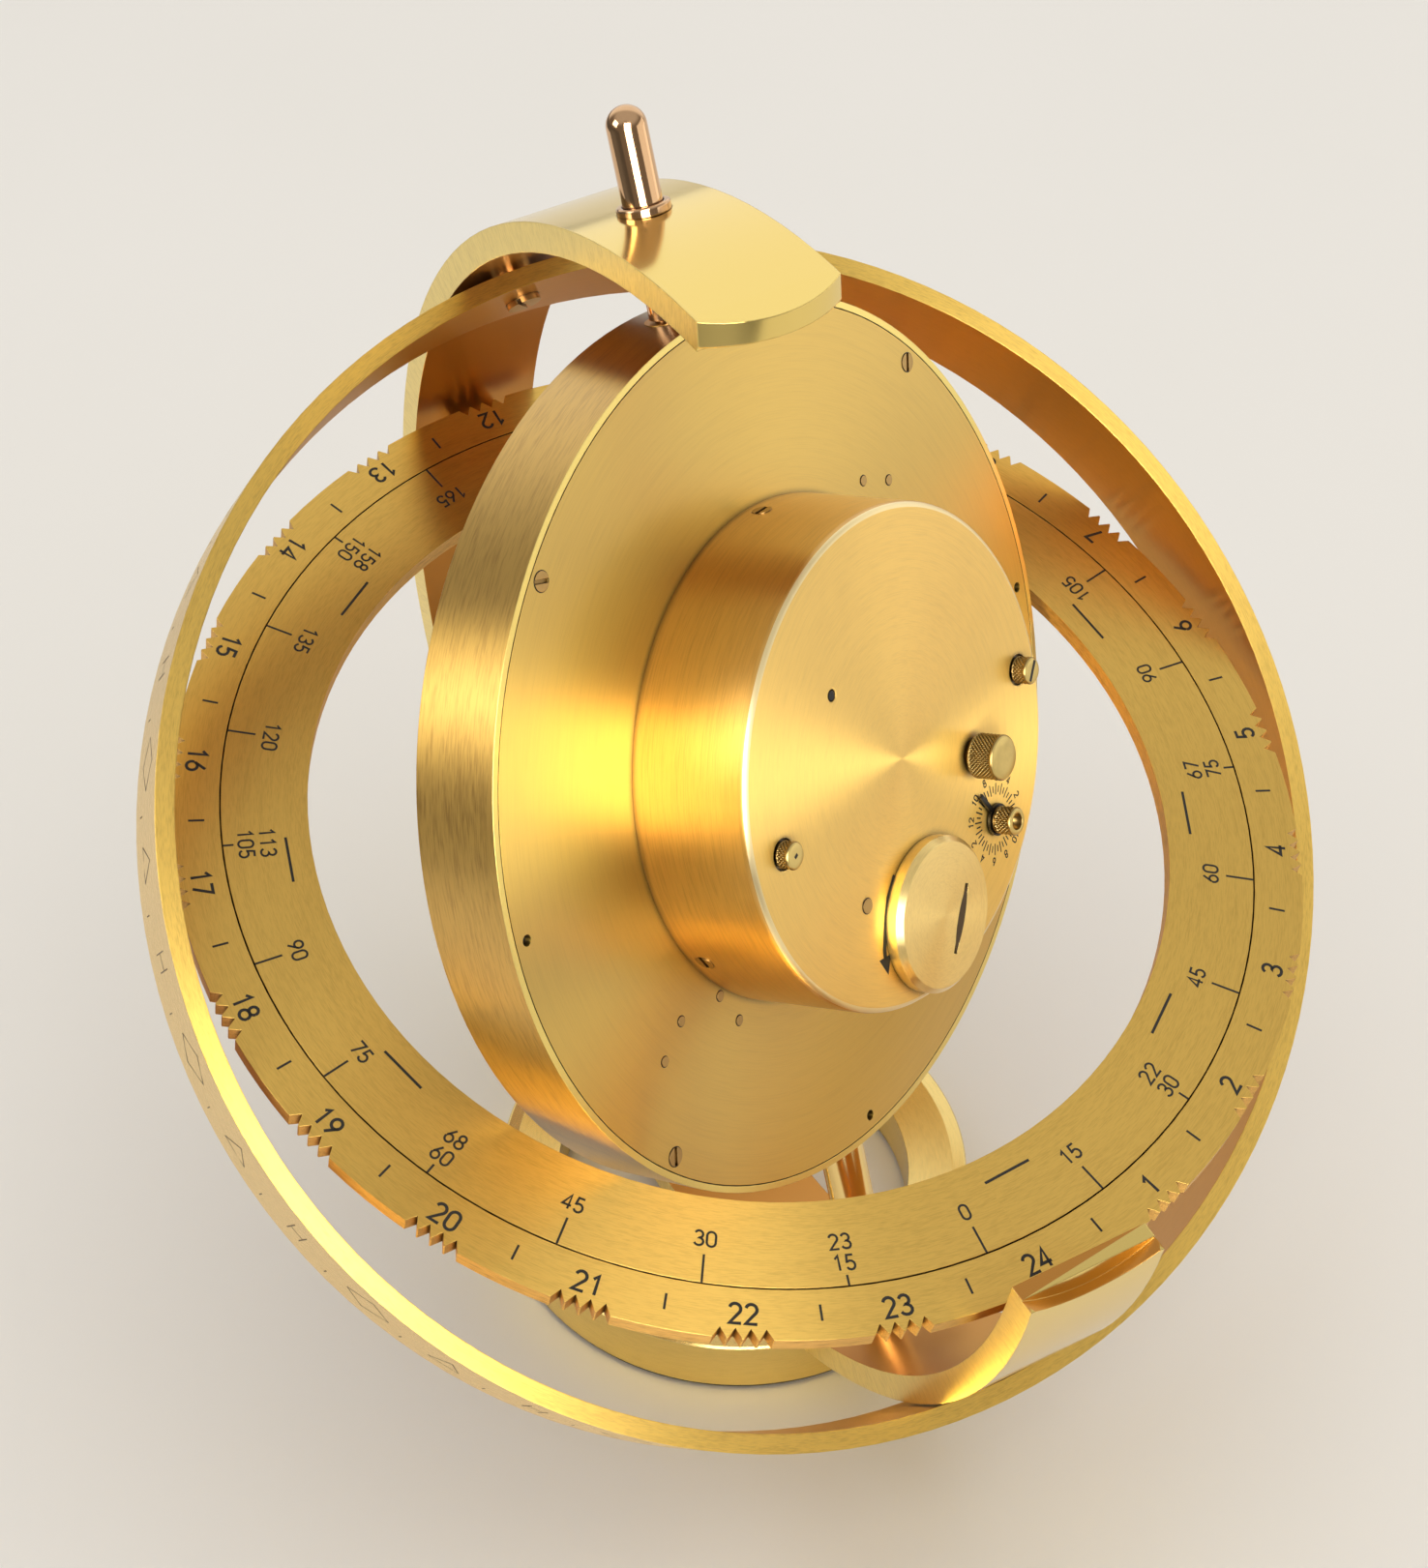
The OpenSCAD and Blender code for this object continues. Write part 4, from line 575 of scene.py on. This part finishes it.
# painted shade in recesses: a dark strip in the slot across the month knob, turned in radians, a dark lens in
# the lens-shaped coin slot of the cap, and a dark mark in the date knob's eye
monthSlot = dict(half=2.0, turn=0.9, width=0.7, z=34.73)
middle = np.array([monthKnob["x"], monthKnob["y"]])
reach = monthSlot["half"] * np.array([math.cos(monthSlot["turn"]), math.sin(monthSlot["turn"])])
marks("monthKnobSlotShade", [[middle - reach, middle + reach]], monthSlot["width"], headPlace, "month_setting",
      monthSlot["z"])
lens = dict(x=4.9, z=34.73, half=6.4, bulge=1.0, turn=-34)
edge = np.linspace(-1, 1, 13)
lensSide = np.stack([lens["x"] + lens["bulge"] * (1 - edge ** 2), lens["half"] * edge], -1)
lensBack = np.stack([2 * lens["x"] - lensSide[:, 0], lensSide[:, 1]], -1)[-2:0:-1]
outline = np.vstack([lensSide, lensBack]) @ turnZ(lens["turn"])[:2, :2].T + (cap["x"], cap["y"])
addMesh("capCoinSlotShade", onPlane(outline, lens["z"]), [list(range(len(outline)))], headPlace,
        "battery_cap_turning", slotShade, False)
eye = dict(x=0.4, y=0.2, width=0.6, z=34.22)
ends = [(dateKnob["x"] + side * eye["x"], dateKnob["y"] + side * eye["y"]) for side in (-1, 1)]
marks("dateKnobEyeShade", [ends], eye["width"], headPlace, "date_setting", eye["z"])
print("stage: knobs ready")


# finial: a rod with a round end, and a rolled collar at its foot
finial = dict(radius=3.5, foot=112.0, top=130.5, chamfer=0.1, clear=0.3, stop=0.2, poleGap=0.08)
r0 = finial["radius"]
lowest, shoulder = finial["foot"], finial["top"] - finial["radius"]
profile = [(0, lowest), (r0 - finial["chamfer"], lowest), (r0, lowest + finial["chamfer"])]
profile += [(r0, z) for z in np.linspace(lowest + finial["clear"], shoulder - finial["stop"], 6)]
profile += [(r0 * math.cos(b), shoulder + r0 * math.sin(b))
            for b in np.linspace(0, math.pi / 2 - finial["poleGap"], 15)]
profile.append((0, finial["top"]))
points, faces = latheGrid(profile, 96, False)
obj = addMesh("finialRod", points, faces, axisPlace, "stand", rodBrass, weld=True)
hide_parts("finial")
collar = dict(inner=3.6, outer=4.7, foot=112.04, top=113.8, rounds=[0.05, 0.2, 0.7, 0.2])
profile = rounded([(collar["inner"], collar["foot"]), (collar["outer"], collar["foot"]),
                   (collar["outer"], collar["top"]), (collar["inner"], collar["top"])], collar["rounds"], 6)
points, faces = latheGrid(profile, 96)
obj = addMesh("finialCollarRing", points, faces, axisPlace, "stand", rodBrass)
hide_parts("finial_collar")
print("stage: rods ready")


# rear can: an arrow beside the battery cap and a scale round the pointer
canFace = 31.62
arrow = dict(line=[(-8.3, -18.5), (-11.2, -21.4), (-13.2, -25.3), (-14.9, -29.6), (-15.2, -31.4)], width=1.0,
             tip=[(-16.9, -30.8), (-13.5, -31.2), (-15.2, -34.4)])
marks("capArrow", [arrow["line"]], arrow["width"], headPlace, "clock_head", canFace)
addMesh("capArrowTip", onPlane(arrow["tip"], canFace), [[0, 1, 2]], headPlace, "clock_head", inkAndShade, False)
pointerScale = dict(step=9, long=(4.5, 6.6), short=(4.9, 6.1), width=0.26, numberR=7.8, numberH=1.4,
                    numberStep=30, numberStart=10)
at = (pointerKnob["x"], pointerKnob["y"])
scale, scaleNumbers = [], []
for k in range(40):
    ends = pointerScale["long" if k % 2 == 0 else "short"]
    scale.append([onRing(r, k * pointerScale["step"], *at) for r in ends])
for k in range(12):
    turn = k * pointerScale["numberStep"] + pointerScale["numberStart"]
    spot = onRing(pointerScale["numberR"], turn, *at)
    scaleNumbers += numberPaths(str((k * 2 + 1) % 12 + 1), pointerScale["numberH"], *spot, turn - 90)
marks("pointerScale", scale, pointerScale["width"], headPlace, "clock_head", canFace)
marks("pointerNumbers", scaleNumbers, pointerScale["width"], headPlace, "clock_head", canFace)


def blackDisc(name, x, y, radius, z):
    # a flat black disc of 24 points: painted shade at the bottom of a hole
    edge = arcPoints(x, y, radius, radius, 0, 345, 24)
    addMesh(name, onPlane(edge, z), [list(range(24))], headPlace, "clock_head", inkAndShade, False)


# painted shade in the holes of the rear plate and the can
holes = dict(plateR=75.5, plateZ=7.3, radius=0.97, canX=-15.6, canY=18.7, canR=0.85)
for k in range(4):
    blackDisc("plateHoleShade%d" % k, *onRing(holes["plateR"], 90 * k), holes["radius"], holes["plateZ"])
blackDisc("canHoleShade", holes["canX"], holes["canY"], holes["canR"], canFace)

# thin lines of painted shade in the gaps round the pins and screws of the plate and round the plug
gapShadeLines = dict(plateZ=8.62, pinR=0.98, screwR=1.78, plugX=-17.2, plugY=-20, plugR=1.38, width=0.16,
                pins=((48, 50.7), (40.2, 54.2), (215.4, 54.5), (224.2, 46.6), (232.7, 49.3), (215.5, 62.2)),
                screws=(45, 135, 225, 315))
circles = [onRing(radius, turn) + (gapShadeLines["pinR"],) for turn, radius in gapShadeLines["pins"]]
circles += [onRing(holes["plateR"], turn) + (gapShadeLines["screwR"],) for turn in gapShadeLines["screws"]]
marks("plateGapShade", [arcPoints(x, y, r, r, 0, 360, 25) for x, y, r in circles], gapShadeLines["width"], headPlace,
      "clock_head", gapShadeLines["plateZ"])
plugEdge = arcPoints(gapShadeLines["plugX"], gapShadeLines["plugY"], gapShadeLines["plugR"], gapShadeLines["plugR"], 0, 360, 25)
marks("plugGapShade", [plugEdge], gapShadeLines["width"], headPlace, "clock_head", canFace)
print("stage: can markings ready")

# the band's outer face: a plain scale of diamonds, triangles and bars, drawn flat and wrapped on the cylinder
motifs = dict(radius=112.03, line=0.22, step=9.0, size=3.2, bigger=1.5, perRadian=57.3, tick=(-5.5, -3.5))
paths = []
for k in range(40):
    a, c = k * motifs["step"], motifs["size"] * (1 if k % 3 else motifs["bigger"])
    s = c / motifs["radius"] * motifs["perRadian"]
    if k % 3 == 0:
        paths.append([(a - s, 0), (a, c), (a + s, 0), (a, -c), (a - s, 0)])
    elif k % 3 == 1:
        paths.append([(a - s, -c), (a, c), (a + s, -c), (a - s, -c)])
    else:
        left, right = a - s / 2, a + s / 2
        paths += [[(left, -c), (left, c)], [(right, -c), (right, c)], [(left, 0), (right, 0)]]
    paths.append([(a + motifs["step"] / 2, y) for y in motifs["tick"]])
flat = [[(x * motifs["radius"] / motifs["perRadian"], y) for x, y in path] for path in paths]
points, faces = strokeMesh(flat, motifs["line"])
turns = points[:, 0] / motifs["radius"]
points = np.stack([motifs["radius"] * np.cos(turns), motifs["radius"] * np.sin(turns), points[:, 1]], -1)
addMesh("bandMotifs", points, faces, bandPlace, "stand", engraved, False)
print("stage: band motifs ready")


def mirroredNumber(text, height, x, y):
    # (px, py) becomes (x - px, y + py), since the dial is read from the front
    return [[(x - px, y + py) for px, py in stroke] for stroke in numberPaths(text, height)]


# the front dial, which the photograph doesn't show, drawn mirrored in the plane seen from behind
dial = dict(face=-2.03, numberR=52, numberH=8, numberW=0.9, ticks=(67.5, 70.0), tickW=0.4)
dialNumbers = []
for hour in range(1, 13):
    dialNumbers += mirroredNumber(str(hour), dial["numberH"], *onRing(dial["numberR"], 90 + hour * 30))
minuteTicks = [[onRing(r, 6 * k) for r in dial["ticks"]] for k in range(60)]
marks("dialNumbers", dialNumbers, dial["numberW"], headPlace, "clock_head", dial["face"], True)
marks("minuteTicks", minuteTicks, dial["tickW"], headPlace, "clock_head", dial["face"], True)
small = dict(ticks=(10.2, 11.4), tickW=0.3, numberR=13.2, numberH=2.2, numberW=0.35, last=30)
for name, knob, count, every in (("dateDial", dateKnob, 31, 5), ("monthDial", monthKnob, 12, 3)):
    ticks, numbers = [], []
    for k in range(count):
        turn = 90 + 360 * k / count
        ticks.append([onRing(r, turn, knob["x"], knob["y"]) for r in small["ticks"]])
        if k % every == 0 and k < small["last"]:
            x, y = onRing(small["numberR"], turn, knob["x"], knob["y"])
            numbers += mirroredNumber(str(k + 1), small["numberH"], x, y)
    marks(name + "Ticks", ticks, small["tickW"], headPlace, "clock_head", dial["face"], True)
    marks(name + "Numbers", numbers, small["numberW"], headPlace, "clock_head", dial["face"], True)
print("stage: dial ready")

# the room: a bright ceiling and far side, and dark walls beside and behind the camera
room = dict(away=(-0.83, 0.52, 0.2), front=(0.74, -0.47, 0.48), light="#FBFAF7", dim="#79726A",
            backdrop="#EAE9E6", strength=1.12, ceiling=0.45, upEdge=(0.3, 0.75), awayEdge=(0.4, 0.8),
            frontEdge=(0.98, 0.85))

# a plain pale floor, which turns dark for the brass beyond the table's near and left edges
tableSize = dict(half=5.0, fadeFrom=0.8, fadeTo=1.5, near=0.45, nearAxis=(0.844, -0.536, 0), left=-0.5,
                 leftAxis=(0.536, 0.844, 0), light="#F3F1ED", shade="#EFEDE8", dim=0.12, rough=0.6,
                 perMm=0.006, detail=4.0)
paleTable, tree, shader = newMaterial("paleTable")
add = partial(addNode, tree)
place = add("TexCoord", {}, "Object")
cloudInputs = {"Vector": place, "Scale": tableSize["perMm"] / metre, "Detail": tableSize["detail"]}
pale = add("Mix", {0: add("TexNoise", cloudInputs, "Fac"), 6: linear(tableSize["shade"]),
                   7: linear(tableSize["light"])}, 2, data_type="RGBA")
nearness = add("VectorMath", {0: place, 1: tableSize["nearAxis"]}, "Value", operation="DOT_PRODUCT")
leftness = add("VectorMath", {0: place, 1: tableSize["leftAxis"]}, "Value", operation="DOT_PRODUCT")
nearer = add("Math", {0: nearness, 1: tableSize["near"]}, operation="GREATER_THAN")
lefter = add("Math", {0: leftness, 1: tableSize["left"]}, operation="LESS_THAN")
outside = add("Math", {0: nearer, 1: lefter}, operation="MAXIMUM")
glossyRay, cameraRay = (add("LightPath", {}, kind) for kind in ("Is Glossy Ray", "Is Camera Ray"))
beyond = add("Math", {0: outside, 1: glossyRay}, operation="MULTIPLY")
amount = add("Math", {0: beyond, 1: 1 - tableSize["dim"]}, operation="MULTIPLY")
tone = add("Mix", {0: amount, 6: pale, 7: (0, 0, 0, 1)}, 2, data_type="RGBA")
setInputs(tree, shader, {"Base Color": tone, "Roughness": tableSize["rough"]})
# far from the part the camera sees the table in the backdrop's colour, so no edge of the table shows
flatPlace = add("VectorMath", {0: place, 1: (1, 1, 0)}, operation="MULTIPLY")
distance = add("VectorMath", {0: flatPlace}, "Value", operation="LENGTH")
fade = add("MapRange", {0: distance, 1: tableSize["fadeFrom"], 2: tableSize["fadeTo"]},
           interpolation_type="SMOOTHSTEP")
share = add("Math", {0: fade, 1: cameraRay}, operation="MULTIPLY")
glow = add("Emission", {"Color": linear(room["backdrop"]), "Strength": room["strength"]})
joined = add("MixShader", {0: share, 1: shader.outputs[0], 2: glow})
setInputs(tree, tree.nodes["Material Output"], {"Surface": joined})
half = tableSize["half"]
mesh = bpy.data.meshes.new("tableTop")
mesh.from_pydata([(-half, -half, 0), (half, -half, 0), (half, half, 0), (-half, half, 0)], [], [[0, 1, 2, 3]])
mesh.materials.append(paleTable)
tableTop = bpy.data.objects.new("tableTop", mesh)
bpy.context.scene.collection.objects.link(tableTop)

world = bpy.data.worlds.new("softRoom")
bpy.context.scene.world = world
world.use_nodes = True
add = partial(addNode, world.node_tree)
direction = add("TexCoord", {}, "Generated")


def softStep(axis, edges):
    # the direction's share along the axis, as a smooth step: 0 at the first edge and 1 at the second
    along = add("VectorMath", {0: direction, 1: axis}, "Value", operation="DOT_PRODUCT")
    return add("MapRange", {0: along, 1: edges[0], 2: edges[1]}, interpolation_type="SMOOTHSTEP")


ceiling = add("Math", {0: softStep((0, 0, 1), room["upEdge"]), 1: room["ceiling"]}, operation="MULTIPLY")
bright = add("Math", {0: ceiling, 1: softStep(room["away"], room["awayEdge"])}, operation="MAXIMUM")
lit = add("Math", {0: bright, 1: softStep(room["front"], room["frontEdge"])}, operation="MULTIPLY")
tone = add("Mix", {0: lit, 6: linear(room["dim"]), 7: linear(room["light"])}, 2, data_type="RGBA")
# the camera, also through the glass, sees the plain backdrop, and the brass the room
direct, through = (add("LightPath", {}, kind) for kind in ("Is Camera Ray", "Is Transmission Ray"))
seen = add("Math", {0: direct, 1: through}, operation="MAXIMUM")
tone = add("Mix", {0: seen, 6: tone, 7: linear(room["backdrop"])}, 2, data_type="RGBA")
setInputs(world.node_tree, world.node_tree.nodes["Background"], {"Color": tone, "Strength": room["strength"]})


def poseMatrix(right, up, back, place):
    # the turn and place as one matrix, whose columns are right, up, back and the place
    matrix = np.eye(4)
    matrix[:3] = np.stack([right, up, back, place], -1)
    return Matrix(matrix.tolist())


def areaLight(name, place, target, width, height, power, colour, lights):
    # a rectangle that faces the target: back = place - target, right = z x back. lights names the kind of
    # reflection that it reaches, glossy or diffuse
    data = bpy.data.lights.new(name, "AREA")
    data.shape = "RECTANGLE"
    data.size, data.size_y = width, height
    data.energy = power
    data.color = linear(colour)[:3]
    obj = bpy.data.objects.new(name, data)
    bpy.context.scene.collection.objects.link(obj)
    back = np.array(place, float) - np.array(target, float)
    back /= np.linalg.norm(back)
    right = np.cross([0, 0, 1], back)
    right /= np.linalg.norm(right)
    obj.matrix_world = poseMatrix(right, np.cross(back, right), back, place)
    obj.visible_diffuse, obj.visible_glossy = lights == "diffuse", lights == "glossy"


lamps = {
    "window": dict(place=(1.0, -0.45, 0.75), target=(0, 0, 0.13), width=0.75, height=0.85, power=22,
                   colour="#FFFDF8", lights="glossy"),
    "leftWindow": dict(place=(-0.245, -1.05, 0.65), target=(0, 0, 0.13), width=0.6, height=0.5, power=4.5,
                       colour="#FFFDF8", lights="glossy"),
    "rightWall": dict(place=(0.62, 1.15, 0.28), target=(0, 0, 0.13), width=1.5, height=0.7, power=3,
                      colour="#FFFDF6", lights="glossy"),
    "tableFill": dict(place=(0.35, 0.1, 1.8), target=(0.15, 0.05, 0), width=3.6, height=3.6, power=25,
                      colour="#FFFCF8", lights="diffuse"),
}
for name, lamp in lamps.items():
    areaLight(name, **lamp)

view = dict(lens=69.19, sensor=36, shiftX=0.1145, shiftY=-0.0272, near=0.02, far=20,
            right=(0.4746, 0.8798, -0.0263), up=(-0.5911, 0.3407, 0.7311), place=(0.3370, -0.2140, 0.5032))
cameraData = bpy.data.cameras.new("camera")
cameraData.lens = view["lens"]
cameraData.sensor_width = view["sensor"]
cameraData.shift_x, cameraData.shift_y = view["shiftX"], view["shiftY"]
cameraData.clip_start, cameraData.clip_end = view["near"], view["far"]
camera = bpy.data.objects.new("camera", cameraData)
bpy.context.scene.collection.objects.link(camera)
back = np.cross(view["right"], view["up"])
back /= np.linalg.norm(back)
right = np.cross(view["up"], back)
camera.matrix_world = poseMatrix(right, np.cross(back, right), back, view["place"])
bpy.context.scene.camera = camera
bpy.context.scene.view_settings.view_transform = "Standard"
print("stage: lights and camera ready")
